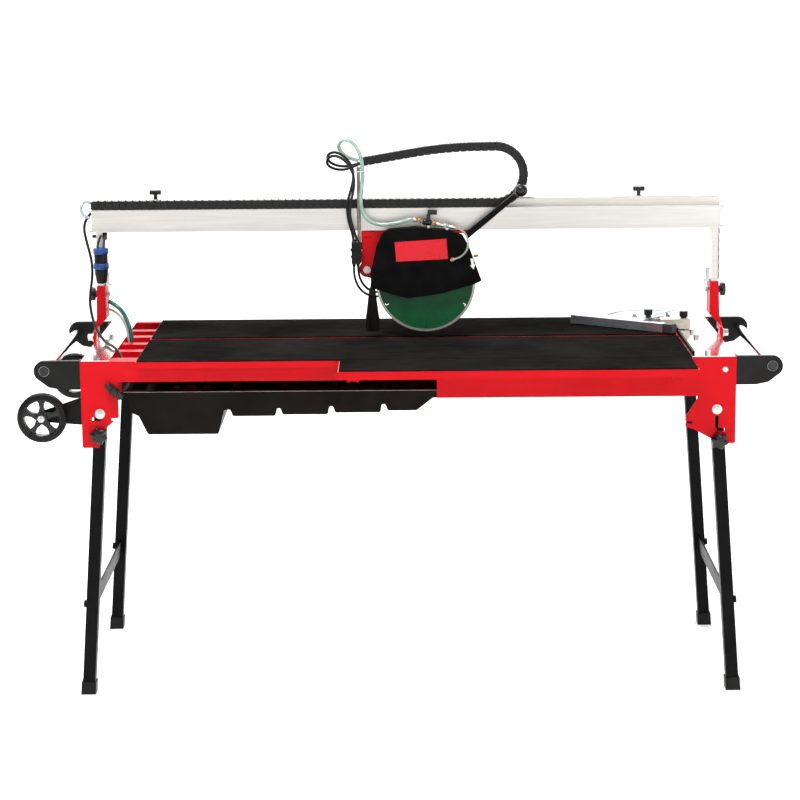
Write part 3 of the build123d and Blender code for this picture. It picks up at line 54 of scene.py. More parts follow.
# Everything below is written in the machine's drawing coordinates in millimetres: x = 0 at the frame's
# middle, y = 0 at the front panel's face, z = 0 on the floor. at() turns them into row coordinates.
ORIGIN = (-23.5, 228.5)

BLADE_CENTRE = (46, 302, 982)
BLADE_RIM_FROM = 0.1189        # metres from the arbor, where the green core ends
BLADE_RIM_TO = 0.1193
GUARD_FACE_Y = 282.0
BRISTLES = 620
RING_SIDES = 64
BEVEL_SEGMENTS = 2
BEVEL_ANGLE = radians(38)      # sharper edges than this are softened

# Camera: lens in mm, place in drawing millimetres, angles in degrees
CAMERA_LENS = 104.6
CAMERA_PLACE = (8, -5504, 1809)
CAMERA_YAW, CAMERA_PITCH, CAMERA_ROLL = -0.291, 11.004, -0.495

# Lights: name, place, aim, size (metres) and power (watts)
LIGHTS = (
    ("key", (-1.0, -1.5, 4.7), (0, 0, 0.8), (1.9, 1.5), 205),
    ("fill", (2.2, -3.4, 2.6), (0, 0, 0.7), (1.8, 1.8), 52),
    ("back", (0.4, 3.6, 3.4), (0, 0, 0.9), (4.0, 1.6), 110),
)
FLOOR_FRONT, FLOOR_REAR, FLOOR_HALF_WIDTH = -70.0, 9.0, 60
SWEEP_RADIUS, SWEEP_TOP = 5.0, 14.0


def at(x, y, z):
    return Vector(((x - ORIGIN[0]) / 1000, (y - ORIGIN[1]) / 1000, z / 1000))


# ---------------------------------------------------------------- materials
def node_material(name):
    mat = bpy.data.materials.new(name)
    mat.use_nodes = True
    tree = mat.node_tree
    shader = tree.nodes["Principled BSDF"]
    return mat, tree, shader


def coords(tree, scale=(1, 1, 1), turn=(0, 0, 0)):
    """Object coordinates, stretched for a grain along one axis."""
    where = tree.nodes.new("ShaderNodeTexCoord")
    mapping = tree.nodes.new("ShaderNodeMapping")
    mapping.inputs["Scale"].default_value = scale
    mapping.inputs["Rotation"].default_value = turn
    tree.links.new(where.outputs["Object"], mapping.inputs["Vector"])
    return mapping.outputs["Vector"]


def noise(tree, vector, scale, detail=4.0, rough=0.55):
    tex = tree.nodes.new("ShaderNodeTexNoise")
    tex.inputs["Scale"].default_value = scale
    tex.inputs["Detail"].default_value = detail
    tex.inputs["Roughness"].default_value = rough
    tree.links.new(vector, tex.inputs["Vector"])
    return tex.outputs["Fac"]


def ramp(tree, value, low, high, a=0.35, b=0.65):
    node = tree.nodes.new("ShaderNodeValToRGB")
    node.color_ramp.elements[0].position = a
    node.color_ramp.elements[1].position = b
    node.color_ramp.elements[0].color = (*low, 1)
    node.color_ramp.elements[1].color = (*high, 1)
    tree.links.new(value, node.inputs["Fac"])
    return node.outputs["Color"]


def spread(tree, value, low, high):
    node = tree.nodes.new("ShaderNodeMapRange")
    node.inputs["From Min"].default_value = 0.3
    node.inputs["From Max"].default_value = 0.7
    node.inputs["To Min"].default_value = low
    node.inputs["To Max"].default_value = high
    tree.links.new(value, node.inputs["Value"])
    return node.outputs["Result"]


def bump(tree, shader, value, strength, distance=0.0004):
    node = tree.nodes.new("ShaderNodeBump")
    node.inputs["Strength"].default_value = strength
    node.inputs["Distance"].default_value = distance
    tree.links.new(value, node.inputs["Height"])
    tree.links.new(node.outputs["Normal"], shader.inputs["Normal"])


def surface(name, low, high, rough, metal=0.0, stretch=(1, 1, 1), patch=9.0, grain=900.0, depth=0.15,
            coat=0.0, specular=0.5, sheen=0.0, patch_range=(0.35, 0.65)):
    """A base colour that drifts between two tones, an uneven roughness and a fine bump."""
    mat, tree, shader = node_material(name)
    drift = noise(tree, coords(tree, stretch), patch, 6.0, 0.6)
    tree.links.new(ramp(tree, drift, low, high, *patch_range), shader.inputs["Base Color"])
    smear = noise(tree, coords(tree, stretch), patch * 4.3, 5.0, 0.65)
    tree.links.new(spread(tree, smear, rough[0], rough[1]), shader.inputs["Roughness"])
    fine = noise(tree, coords(tree, stretch), grain, 3.0, 0.5)
    bump(tree, shader, fine, depth)
    shader.inputs["Metallic"].default_value = metal
    shader.inputs["Coat Weight"].default_value = coat
    shader.inputs["Coat Roughness"].default_value = 0.12
    shader.inputs["Specular IOR Level"].default_value = specular
    shader.inputs["Sheen Weight"].default_value = sheen
    return mat


def make_blade_material():
    """Green core with a bare steel rim and a worn, wetted look, by distance from the arbor."""
    mat, tree, shader = node_material("blade")
    where = tree.nodes.new("ShaderNodeTexCoord")
    shift = tree.nodes.new("ShaderNodeVectorMath")
    shift.operation = "SUBTRACT"
    shift.inputs[1].default_value = at(*BLADE_CENTRE)
    tree.links.new(where.outputs["Object"], shift.inputs[0])
    flat = tree.nodes.new("ShaderNodeVectorMath")
    flat.operation = "MULTIPLY"
    flat.inputs[1].default_value = (1, 0, 1)
    tree.links.new(shift.outputs["Vector"], flat.inputs[0])
    size = tree.nodes.new("ShaderNodeVectorMath")
    size.operation = "LENGTH"
    tree.links.new(flat.outputs["Vector"], size.inputs[0])
    edge = tree.nodes.new("ShaderNodeMapRange")
    edge.inputs["From Min"].default_value = BLADE_RIM_FROM
    edge.inputs["From Max"].default_value = BLADE_RIM_TO
    tree.links.new(size.outputs["Value"], edge.inputs["Value"])
    rings = tree.nodes.new("ShaderNodeTexWave")
    rings.wave_type = "RINGS"
    rings.rings_direction = "Y"
    rings.inputs["Scale"].default_value = 420.0
    rings.inputs["Distortion"].default_value = 1.5
    tree.links.new(shift.outputs["Vector"], rings.inputs["Vector"])
    drift = noise(tree, flat.outputs["Vector"], 24.0, 6.0, 0.6)
    core = ramp(tree, drift, (0.0, 0.072, 0.020), (0.0006, 0.098, 0.030))
    grit = ramp(tree, noise(tree, shift.outputs["Vector"], 1300.0, 2.0),
                (0.32, 0.31, 0.27), (0.72, 0.7, 0.62))
    mix = tree.nodes.new("ShaderNodeMix")
    mix.data_type = "RGBA"
    tree.links.new(edge.outputs["Result"], mix.inputs["Factor"])
    tree.links.new(core, mix.inputs["A"])
    tree.links.new(grit, mix.inputs["B"])
    tree.links.new(mix.outputs["Result"], shader.inputs["Base Color"])
    tree.links.new(edge.outputs["Result"], shader.inputs["Metallic"])
    tree.links.new(spread(tree, rings.outputs["Fac"], 0.32, 0.42), shader.inputs["Roughness"])
    bump(tree, shader, rings.outputs["Fac"], 0.04, 0.0001)
    shader.inputs["Specular IOR Level"].default_value = 0.3
    return mat


def make_hose_material(name, low, high):
    """Soft clear tube with water inside: pale, slightly cloudy, with faint knit lines along it."""
    mat, tree, shader = node_material(name)
    where = coords(tree)
    tree.links.new(ramp(tree, noise(tree, where, 55.0, 4.0), low, high), shader.inputs["Base Color"])
    tree.links.new(spread(tree, noise(tree, where, 140.0), 0.12, 0.24), shader.inputs["Roughness"])
    bump(tree, shader, noise(tree, where, 700.0, 2.0), 0.08)
    shader.inputs["Transmission Weight"].default_value = 0.35
    shader.inputs["Subsurface Weight"].default_value = 0.25
    shader.inputs["Subsurface Radius"].default_value = (0.004, 0.006, 0.005)
    shader.inputs["Coat Weight"].default_value = 0.4
    return mat


def make_mat_material():
    """Black ribbed rubber: fine ribs along the mat, dusty grey in the low spots, scuffs along the length."""
    mat, tree, shader = node_material("mat_rubber")
    along = coords(tree, (1.2, 14.0, 14.0))
    streak = noise(tree, along, 16.0, 8.0, 0.7)
    plain = noise(tree, coords(tree), 5.0, 5.0, 0.6)
    joined = tree.nodes.new("ShaderNodeMath")
    joined.operation = "MULTIPLY_ADD"
    joined.inputs[1].default_value = 0.6
    tree.links.new(streak, joined.inputs[0])
    part = tree.nodes.new("ShaderNodeMath")
    part.operation = "MULTIPLY"
    part.inputs[1].default_value = 0.4
    tree.links.new(plain, part.inputs[0])
    tree.links.new(part.outputs["Value"], joined.inputs[2])
    dust = ramp(tree, joined.outputs["Value"], (0.006, 0.0054, 0.0052), (0.019, 0.0176, 0.0168), 0.38, 0.62)
    tree.links.new(dust, shader.inputs["Base Color"])
    tree.links.new(spread(tree, streak, 0.7, 0.9), shader.inputs["Roughness"])
    ribs = tree.nodes.new("ShaderNodeTexWave")
    ribs.wave_type = "BANDS"
    ribs.bands_direction = "Y"
    ribs.inputs["Scale"].default_value = 95.0
    ribs.inputs["Distortion"].default_value = 0.4
    tree.links.new(coords(tree), ribs.inputs["Vector"])
    height = tree.nodes.new("ShaderNodeMath")
    height.operation = "ADD"
    tree.links.new(ribs.outputs["Fac"], height.inputs[0])
    tree.links.new(noise(tree, coords(tree), 1500.0, 2.0), height.inputs[1])
    bump(tree, shader, height.outputs["Value"], 0.3, 0.0003)
    shader.inputs["Specular IOR Level"].default_value = 0.0
    return mat


def make_brushed(name, low, high, rough, stretch, grain=60.0, depth=0.12):
    """Metal with long fine lines in one direction."""
    return surface(name, low, high, rough, 1.0, stretch, 6.0, grain, depth, 0.0, 0.5, 0.0, (0.3, 0.7))


M = {
    "red": surface("red_powder_coat", (0.52, 0.0010, 0.0055), (0.58, 0.0018, 0.0075), (0.30, 0.42), patch=3.0,
                   grain=1100.0, depth=0.08, specular=0.13),
    "black_coat": surface("black_powder_coat", (0.0022, 0.0021, 0.0021), (0.0055, 0.0052, 0.0052),
                          (0.30, 0.44), grain=1300.0, depth=0.2, specular=0.07),
    "deck": make_brushed("polished_deck", (0.96, 0.965, 0.97), (0.99, 0.99, 0.99), (0.10, 0.18),
                         (2, 40, 2), 40.0, 0.04),
    "zinc": surface("zinc_plate", (0.50, 0.51, 0.50), (0.72, 0.72, 0.70), (0.24, 0.38), 1.0,
                    (1, 1, 1), 60.0, 500.0, 0.12),
    "fence": make_brushed("fence_zinc", (0.34, 0.38, 0.43), (0.60, 0.63, 0.67), (0.24, 0.4), (3, 3, 60)),
    "plastic": surface("moulded_black", (0.0045, 0.0042, 0.004), (0.010, 0.0095, 0.009), (0.34, 0.5),
                       patch=14.0, grain=1600.0, depth=0.3, specular=0.16),
    "knob": surface("knob_black", (0.0035, 0.0035, 0.0035), (0.008, 0.0078, 0.0075), (0.2, 0.32), patch=30.0,
                    grain=1800.0, depth=0.1, specular=0.4),
    "tray": surface("formed_tray", (0.0062, 0.0046, 0.0036), (0.0125, 0.0098, 0.008), (0.36, 0.5), patch=6.0,
                    grain=1200.0, depth=0.3, specular=0.06),
    "chrome": surface("chrome_tube", (0.52, 0.53, 0.54), (0.66, 0.67, 0.68), (0.05, 0.12), 1.0,
                      (1, 1, 1), 12.0, 300.0, 0.02),
    "beam": make_brushed("anodised_beam", (0.60, 0.575, 0.545), (0.69, 0.665, 0.635), (0.36, 0.46),
                         (1.2, 30, 30), 12.0, 0.03),
    "steel": make_brushed("turned_steel", (0.52, 0.52, 0.53), (0.68, 0.68, 0.69), (0.24, 0.38),
                          (8, 8, 8), 200.0, 0.08),
    "post": surface("post_steel", (0.20, 0.18, 0.155), (0.30, 0.275, 0.245), (0.3, 0.45), 0.7, patch=40.0),
    "motor": surface("motor_paint", (0.008, 0.008, 0.009), (0.018, 0.018, 0.019), (0.36, 0.52), patch=20.0,
                     grain=700.0, depth=0.35, specular=0.3),
    "guard": surface("guard_flock", (0.0022, 0.0018, 0.0018), (0.0052, 0.0046, 0.0045), (0.66, 0.86),
                     patch=18.0, grain=1400.0, depth=0.25, specular=0.06),
    "bristle": surface("bristles", (0.003, 0.003, 0.003), (0.03, 0.026, 0.024), (0.35, 0.6), patch=420.0,
                       grain=1500.0, depth=0.2, specular=0.25),
    "brass": surface("brass", (0.42, 0.27, 0.09), (0.60, 0.41, 0.16), (0.2, 0.36), 1.0,
                     (1, 1, 1), 60.0, 600.0, 0.08),
    "cable": surface("cable_jacket", (0.0035, 0.0035, 0.0035), (0.009, 0.009, 0.009), (0.36, 0.52),
                     patch=60.0, grain=1500.0, depth=0.25, specular=0.28),
    "blue": surface("connector_blue", (0.008, 0.035, 0.17), (0.014, 0.055, 0.24), (0.3, 0.44), patch=50.0,
                    grain=1500.0, depth=0.25, specular=0.35),
    "label": surface("label_vinyl", (0.62, 0.001, 0.010), (0.67, 0.002, 0.014), (0.22, 0.3), patch=8.0,
                     grain=900.0, depth=0.02, specular=0.3),
    "white": surface("arrow_vinyl", (0.78, 0.78, 0.77), (0.86, 0.86, 0.85), (0.28, 0.4),
                     patch=60.0, grain=900.0, depth=0.04),
    "cap": surface("grey_cap", (0.018, 0.017, 0.017), (0.036, 0.035, 0.035), (0.4, 0.55),
                   patch=40.0, grain=1500.0, depth=0.25, specular=0.3),
    "beige": surface("cast_block", (0.46, 0.43, 0.37), (0.58, 0.55, 0.49), (0.42, 0.58), 0.3, patch=40.0,
                     grain=900.0, depth=0.25),
    "chain": surface("chain_nylon", (0.0045, 0.0043, 0.0042), (0.011, 0.0105, 0.010), (0.4, 0.55), patch=50.0,
                     grain=1400.0, depth=0.25, specular=0.3),
    # chain bars: beige-grey that is a painted highlight, not the black nylon's own colour
    "chain_bar_highlight": surface("chain_bar_highlight", (0.14, 0.115, 0.10), (0.30, 0.26, 0.23), (0.3, 0.45),
                         patch=90.0, grain=900.0),
    "tie": surface("cable_tie", (0.6, 0.6, 0.58), (0.74, 0.74, 0.72), (0.35, 0.5), patch=90.0, grain=900.0),
    "mat": make_mat_material(),
    "blade": make_blade_material(),
    "hose": make_hose_material("hose_pale_green", (0.30, 0.46, 0.39), (0.46, 0.60, 0.53)),
    "teal": make_hose_material("hose_teal", (0.01, 0.13, 0.10), (0.03, 0.22, 0.17)),
    "clear": make_hose_material("tube_clear", (0.42, 0.40, 0.35), (0.58, 0.56, 0.50)),
}

NODE_MATERIALS = {
    "red": ["front_frame_panel", "rear_frame_panel", "end_plates", "table_rails", "front_table", "rear_table",
            "extension_table", "tower_arms", "carriage_bracket", "plunge_arm"],
    "deck": ["deck_plates"],
    "zinc": ["frame_bolts", "tower_screws"],
    "fence": ["fence_bar"],
    "beige": ["fence_block"],
    "mat": ["table_mats", "extension_mat"],
    "plastic": ["end_brackets", "left_feet", "right_feet", "cable_gland", "pump"],
    "chrome": ["handle_tubes", "swing_pin"],
    "black_coat": ["left_leg_frame", "right_leg_frame", "side_stops"],
    "post": ["chain_post"],
    "tray": ["water_tray"],
    "beam": ["beam", "uprights"],
    "steel": ["trolley", "spindle"],
    "motor": ["motor"],
    "guard": ["blade_guard"],
    "blade": ["blade"],
    "knob": ["stop_screws", "valve_lever", "fence_block_knob", "fence_angle_knob"],
}
for key, names in NODE_MATERIALS.items():
    for name in names:
        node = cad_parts[name]
        node.data.materials.clear()
        node.data.materials.append(M[key])

EDGES = {
    "front_frame_panel": 0.7, "rear_frame_panel": 0.7, "front_table": 0.9, "rear_table": 0.7,
    "extension_table": 0.9, "table_mats": 0.6, "extension_mat": 0.6, "end_brackets": 1.6, "beam": 0.6,
    "left_leg_frame": 1.6, "right_leg_frame": 1.6, "left_feet": 2.0, "right_feet": 2.0, "water_tray": 1.2,
    "blade_guard": 1.1, "carriage_bracket": 0.8, "tower_arms": 0.8, "uprights": 0.8, "fence_bar": 0.6,
    "fence_block": 1.2, "cable_gland": 1.0, "frame_bolts": 0.5, "tower_screws": 0.4, "plunge_arm": 1.6,
    "motor": 0.5, "deck_plates": 0.4, "side_stops": 0.4, "stop_screws": 1.2, "pump": 1.2, "end_plates": 0.5,
}


def soften(obj, width):
    """Rounds an object's sharp edges by a width in mm."""
    soft = obj.modifiers.new("edge", "BEVEL")
    soft.width = width / 1000
    soft.segments = BEVEL_SEGMENTS
    soft.limit_method = "ANGLE"
    soft.angle_limit = BEVEL_ANGLE
    soft.use_clamp_overlap = True


for name, width in EDGES.items():
    soften(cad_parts[name], width)


# ---------------------------------------------------------------- mesh helpers
def finish_mesh(name, bm, material, body=None, smooth=40.0, edge=0.0):
    """Turns a bmesh in row metres into an object with its material, soft edges and body."""
    bmesh.ops.remove_doubles(bm, verts=bm.verts, dist=1e-6)
    bmesh.ops.recalc_face_normals(bm, faces=bm.faces)
    mesh = bpy.data.meshes.new(name)
    bm.to_mesh(mesh)
    bm.free()
    obj = bpy.data.objects.new(name, mesh)
    bpy.context.scene.collection.objects.link(obj)
    mesh.materials.append(M[material])
    for face in mesh.polygons:
        face.use_smooth = True
    mesh.set_sharp_from_angle(angle=radians(smooth))
    if edge:
        soften(obj, edge)
    if body:
        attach(obj, body)
    return obj


def add_prism(bm, loop, offset):
    """A closed outline of row points, extruded by an offset vector."""
    low = [bm.verts.new(p) for p in loop]
    high = [bm.verts.new(p + offset) for p in loop]
    count = len(loop)
    bm.faces.new(low[::-1])
    bm.faces.new(high)
    for i in range(count):
        bm.faces.new((low[i], low[(i + 1) % count], high[(i + 1) % count], high[i]))


def add_box(bm, x0, x1, y0, y1, z0, z1):
    loop = [at(x0, y0, z0), at(x1, y0, z0), at(x1, y0, z1), at(x0, y0, z1)]
    add_prism(bm, loop, Vector((0, (y1 - y0) / 1000, 0)))


def add_lathe(bm, origin, axis, profile, sides=32, lobes=None):
    """Revolves (radius, distance) pairs in mm about an axis through a row point."""
    axis = axis.normalized()
    side = axis.orthogonal().normalized()
    other = axis.cross(side)
    rings = []
    for radius, along in profile:
        ring = []
        for i in range(sides):
            turn = 2 * pi * i / sides
            r = radius * (lobes(turn) if lobes else 1.0)
            ring.append(bm.verts.new(origin + axis * (along / 1000) +
                                     (side * cos(turn) + other * sin(turn)) * (r / 1000)))
        rings.append(ring)
    for a, b in zip(rings, rings[1:]):
        for i in range(sides):
            bm.faces.new((a[i], a[(i + 1) % sides], b[(i + 1) % sides], b[i]))
    bm.faces.new(rings[0][::-1])
    bm.faces.new(rings[-1])


def lathe(name, origin, axis, profile, material, body, sides=32, lobes=None, smooth=40.0, edge=0.0):
    bm = bmesh.new()
    add_lathe(bm, origin, Vector(axis), profile, sides, lobes)
    return finish_mesh(name, bm, material, body, smooth, edge)


def spline_points(points, steps=8):
    """Points on the smooth line of a route, read from its own NURBS spline."""
    curve = bpy.data.curves.new("route", "CURVE")
    curve.dimensions = "3D"
    curve.resolution_u = steps
    line = curve.splines.new("NURBS")
    line.points.add(len(points) - 1)
    for point, place in zip(line.points, points):
        point.co = (*at(*place), 1)
    line.order_u = 3
    line.use_endpoint_u = True
    obj = bpy.data.objects.new("route", curve)
    mesh = bpy.data.meshes.new_from_object(obj)
    path = [v.co.copy() for v in mesh.vertices]
    bpy.data.objects.remove(obj)
    bpy.data.curves.remove(curve)
    bpy.data.meshes.remove(mesh)
    return path


def add_tube(bm, path, radius, sides=14, ripple=None):
    """A tube along points, with rings that don't twist."""
    normal = (path[1] - path[0]).orthogonal().normalized()
    rings = []
    for i, point in enumerate(path):
        ahead = path[min(i + 1, len(path) - 1)] - path[max(i - 1, 0)]
        ahead.normalize()
        normal = (normal - ahead * normal.dot(ahead)).normalized()
        other = ahead.cross(normal)
        r = (radius + (ripple(i) if ripple else 0.0)) / 1000
        turns = [2 * pi * k / sides for k in range(sides)]
        rings.append([bm.verts.new(point + (normal * cos(t) + other * sin(t)) * r) for t in turns])
    for a, b in zip(rings, rings[1:]):
        for k in range(sides):
            bm.faces.new((a[k], a[(k + 1) % sides], b[(k + 1) % sides], b[k]))
    bm.faces.new(rings[0][::-1])
    bm.faces.new(rings[-1])


def cord_mesh(name, route, diameter, material):
    """A cord held at both ends, as a mesh tube along its route's spline."""
    path = spline_points(route)
    bm = bmesh.new()
    add_tube(bm, path, diameter / 2)
    obj = finish_mesh(name, bm, material)
    return obj, path


# ---------------------------------------------------------------- camera, light and floor
def make_camera():
    data = bpy.data.cameras.new("camera")
    data.lens = CAMERA_LENS
    data.sensor_width = 36.0
    data.clip_end = 200.0
    camera = bpy.data.objects.new("camera", data)
    yaw, pitch, roll = radians(CAMERA_YAW), radians(CAMERA_PITCH), radians(CAMERA_ROLL)
    ahead = Vector((sin(yaw) * cos(pitch), cos(yaw) * cos(pitch), -sin(pitch)))
    right = Vector((cos(yaw), -sin(yaw), 0))
    up = right.cross(ahead)
    right, up = cos(roll) * right + sin(roll) * up, -sin(roll) * right + cos(roll) * up
    turn = Matrix((right, up, -ahead)).transposed()
    camera.matrix_world = Matrix.Translation(at(*CAMERA_PLACE)) @ turn.to_4x4()
    bpy.context.scene.collection.objects.link(camera)
    bpy.context.scene.camera = camera


def make_area(name, place, aim, size, power):
    data = bpy.data.lights.new(name, "AREA")
    data.shape = "RECTANGLE"
    data.size, data.size_y = size
    data.energy = power
    light = bpy.data.objects.new(name, data)
    light.location = place
    light.rotation_euler = (Vector(aim) - Vector(place)).to_track_quat("-Z", "Y").to_euler()
    bpy.context.scene.collection.objects.link(light)


def make_stage():
    """A pale seamless floor that curves up far behind, and soft light from all sides."""
    bm = bmesh.new()
    rows = [(FLOOR_FRONT, 0.0), (FLOOR_REAR, 0.0)]
    for turn in (radians(a) for a in range(10, 91, 10)):
        rows.append((FLOOR_REAR + SWEEP_RADIUS * sin(turn), SWEEP_RADIUS - SWEEP_RADIUS * cos(turn)))
    rows.append((FLOOR_REAR + SWEEP_RADIUS, SWEEP_TOP))
    line = [[bm.verts.new((x, y, z)) for x in (-FLOOR_HALF_WIDTH, FLOOR_HALF_WIDTH)] for y, z in rows]
    for a, b in zip(line, line[1:]):
        bm.faces.new((a[0], a[1], b[1], b[0]))
    mesh = bpy.data.meshes.new("floor")
    bm.to_mesh(mesh)
    bm.free()
    floor = bpy.data.objects.new("floor", mesh)
    for face in mesh.polygons:
        face.use_smooth = True
    mat, tree, shader = node_material("floor")
    tone = noise(tree, coords(tree), 1.2, 3.0)
    tree.links.new(ramp(tree, tone, (0.88, 0.88, 0.88), (0.92, 0.92, 0.92)), shader.inputs["Base Color"])
    shader.inputs["Roughness"].default_value = 0.75
    shader.inputs["Emission Color"].default_value = (1, 1, 1, 1)
    reach = tree.nodes.new("ShaderNodeVectorMath")
    reach.operation = "LENGTH"
    tree.links.new(coords(tree), reach.inputs[0])
    glow = tree.nodes.new("ShaderNodeMapRange")
    glow.interpolation_type = "SMOOTHSTEP"
    glow.inputs["From Min"].default_value = 1.5
    glow.inputs["From Max"].default_value = 8.0
    glow.inputs["To Min"].default_value = 0.34
    glow.inputs["To Max"].default_value = 0.85
    tree.links.new(reach.outputs["Value"], glow.inputs["Value"])
    tree.links.new(glow.outputs["Result"], shader.inputs["Emission Strength"])
    mesh.materials.append(mat)
    bpy.context.scene.collection.objects.link(floor)
    world = bpy.data.worlds.new("studio")
    world.use_nodes = True
    tree = world.node_tree
    where = tree.nodes.new("ShaderNodeTexCoord")
    axes = tree.nodes.new("ShaderNodeSeparateXYZ")
    fade = tree.nodes.new("ShaderNodeMapRange")
    fade.interpolation_type = "SMOOTHSTEP"
    fade.inputs["From Min"].default_value = -0.55
    fade.inputs["From Max"].default_value = 0.25
    fade.inputs["To Min"].default_value = 0.10
    fade.inputs["To Max"].default_value = 1.0
    tree.links.new(where.outputs["Generated"], axes.inputs["Vector"])
    tree.links.new(axes.outputs["Y"], fade.inputs["Value"])
    band = tree.nodes.new("ShaderNodeMapRange")
    band.interpolation_type = "SMOOTHSTEP"
    band.inputs["From Min"].default_value = 0.08
    band.inputs["From Max"].default_value = 0.22
    band.inputs["To Min"].default_value = 1.0
    band.inputs["To Max"].default_value = 0.0
    tree.links.new(axes.outputs["Z"], band.inputs["Value"])
    brighter = tree.nodes.new("ShaderNodeMath")
    brighter.operation = "MAXIMUM"
    tree.links.new(fade.outputs["Result"], brighter.inputs[0])
    tree.links.new(band.outputs["Result"], brighter.inputs[1])
    tree.links.new(brighter.outputs["Value"], tree.nodes["Background"].inputs["Strength"])
    tree.nodes["Background"].inputs["Color"].default_value = (1, 1, 1, 1)
    bpy.context.scene.world = world
    for light in LIGHTS:
        make_area(*light)
    bpy.context.scene.view_settings.view_transform = "Standard"
    bpy.context.scene.view_settings.look = "None"


# ---------------------------------------------------------------- cords
HEAD_HOSE = [(-120, 339, 1286), (-142, 341, 1291), (-163, 338, 1305), (-172, 327, 1325),
             (-160, 314, 1341), (-138, 307, 1338), (-121, 304, 1318), (-112, 304, 1290),
             (-109, 305, 1258), (-112, 306, 1226), (-116, 307, 1194), (-114, 308, 1165),
             (-100, 307, 1140), (-74, 303, 1128), (-44, 299, 1129), (-14, 296, 1135), (12, 294, 1143)]
HEAD_CABLE_A = [(-117, 347, 1279), (-141, 347, 1272), (-165, 345, 1271), (-187, 340, 1278),
                (-199, 328, 1291), (-196, 313, 1305), (-180, 303, 1312), (-160, 301, 1304),
                (-143, 302, 1287), (-133, 303, 1264), (-134, 304, 1238), (-141, 306, 1212),
                (-149, 309, 1186), (-150, 311, 1158), (-145, 310, 1130), (-137, 307, 1106), (-134, 305, 1084)]
HEAD_CABLE_B = [(-117, 334, 1279), (-139, 334, 1268), (-163, 332, 1263), (-186, 326, 1268),
                (-199, 313, 1279), (-198, 299, 1294), (-184, 290, 1304), (-164, 289, 1299),
                (-146, 291, 1283), (-134, 293, 1261), (-131, 295, 1236), (-134, 297, 1210),
                (-141, 299, 1184), (-144, 301, 1157), (-139, 301, 1130), (-130, 299, 1106), (-125, 297, 1084)]
MOTOR_CABLE_A = [(-134, 300, 1032), (-135, 302, 1009), (-131, 307, 986), (-121, 315, 964), (-103, 325, 948),
                 (-79, 336, 941), (-54, 346, 942), (-32, 355, 950), (-14, 362, 961)]
MOTOR_CABLE_B = [(-124, 303, 1032), (-124, 306, 1010), (-119, 312, 988), (-108, 320, 969), (-91, 330, 956),
                 (-69, 342, 950), (-47, 354, 952), (-29, 366, 961), (-13, 377, 972)]
TOWER_CABLE = [(-798, 346, 1158), (-811, 342, 1144), (-816, 334, 1121), (-810, 326, 1093),
               (-801, 319, 1063), (-795, 314, 1032), (-795, 311, 1001), (-800, 308, 970),
               (-803, 304, 940), (-799, 297, 910), (-790, 285, 882), (-777, 270, 861), (-764, 250, 849),
               (-752, 225, 845), (-741, 198, 846), (-731, 171, 847), (-719, 147, 843),
               (-706, 127, 830), (-696, 110, 811)]
END_HOSE = [(-798, 347, 1183), (-807, 346, 1188), (-816, 342, 1186), (-821, 336, 1178), (-821, 330, 1167),
            (-816, 326, 1157), (-807, 325, 1150), (-798, 327, 1147)]
SUPPLY_HOSE = [(-758, 335, 934), (-742, 327, 928), (-722, 319, 910), (-709, 313, 884), (-702, 311, 855),
               (-700, 313, 825), (-694, 315, 796), (-680, 312, 771), (-659, 306, 752), (-635, 299, 742),
               (-614, 291, 737), (-594, 286, 734)]
PUMP_LEAD = [(-761, 352, 912), (-747, 347, 908), (-731, 342, 896), (-720, 338, 878), (-713, 336, 856),
             (-710, 337, 832), (-706, 339, 808), (-696, 338, 784), (-680, 333, 765), (-660, 325, 753),
             (-637, 317, 747), (-614, 309, 744), (-594, 304, 739), (-579, 301, 728)]
WATER_TUBE = [(124, 294, 1119), (138, 291, 1114), (149, 285, 1102), (153, 278, 1086), (151, 275, 1069),
              (142, 275, 1055), (129, 276, 1046), (115, 279, 1042)]


def make_cords():
    hose, _ = cord_mesh("head_hose_tube", HEAD_HOSE, 10.0, "hose")
    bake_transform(hose)
    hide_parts("head_hose")
    for letter, route in (("a", HEAD_CABLE_A), ("b", HEAD_CABLE_B)):
        cable, _ = cord_mesh(f"head_cable_{letter}", route, 7.0, "cable")
        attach(cable, "head")
        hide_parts("head_cables")
    for letter, route in (("a", MOTOR_CABLE_A), ("b", MOTOR_CABLE_B)):
        cable, _ = cord_mesh(f"motor_cable_{letter}", route, 6.0, "cable")
        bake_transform(cable)
        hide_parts("motor_cables")
    cable, _ = cord_mesh("tower_cable_line", TOWER_CABLE, 7.0, "cable")
    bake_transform(cable)
    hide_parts("tower_cable")
    hose, _ = cord_mesh("beam_end_hose", END_HOSE, 8.0, "hose")
    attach(hose, "bridge")
    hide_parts("end_hose")
    hose, _ = cord_mesh("supply_hose", SUPPLY_HOSE, 11.0, "teal")
    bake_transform(hose)
    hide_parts("supply_lines")
    lead, _ = cord_mesh("pump_lead", PUMP_LEAD, 7.0, "tie")
    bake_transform(lead)
    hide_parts("supply_lines")
    tube, _ = cord_mesh("water_tube", WATER_TUBE, 5.0, "clear")
    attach(tube, "cutting_unit")


# ---------------------------------------------------------------- energy chain
CHAIN_Y = (326.0, 354.0)
CHAIN_HEIGHT = 22.0
PITCH = 17.5
LOOP = (223.0, 1249.0)
LOOP_RADIUS = 70.5
# the bars take the beige-grey painted-highlight material
CHAIN_LOOK = {"plates": "chain", "bars": "chain_bar_highlight"}


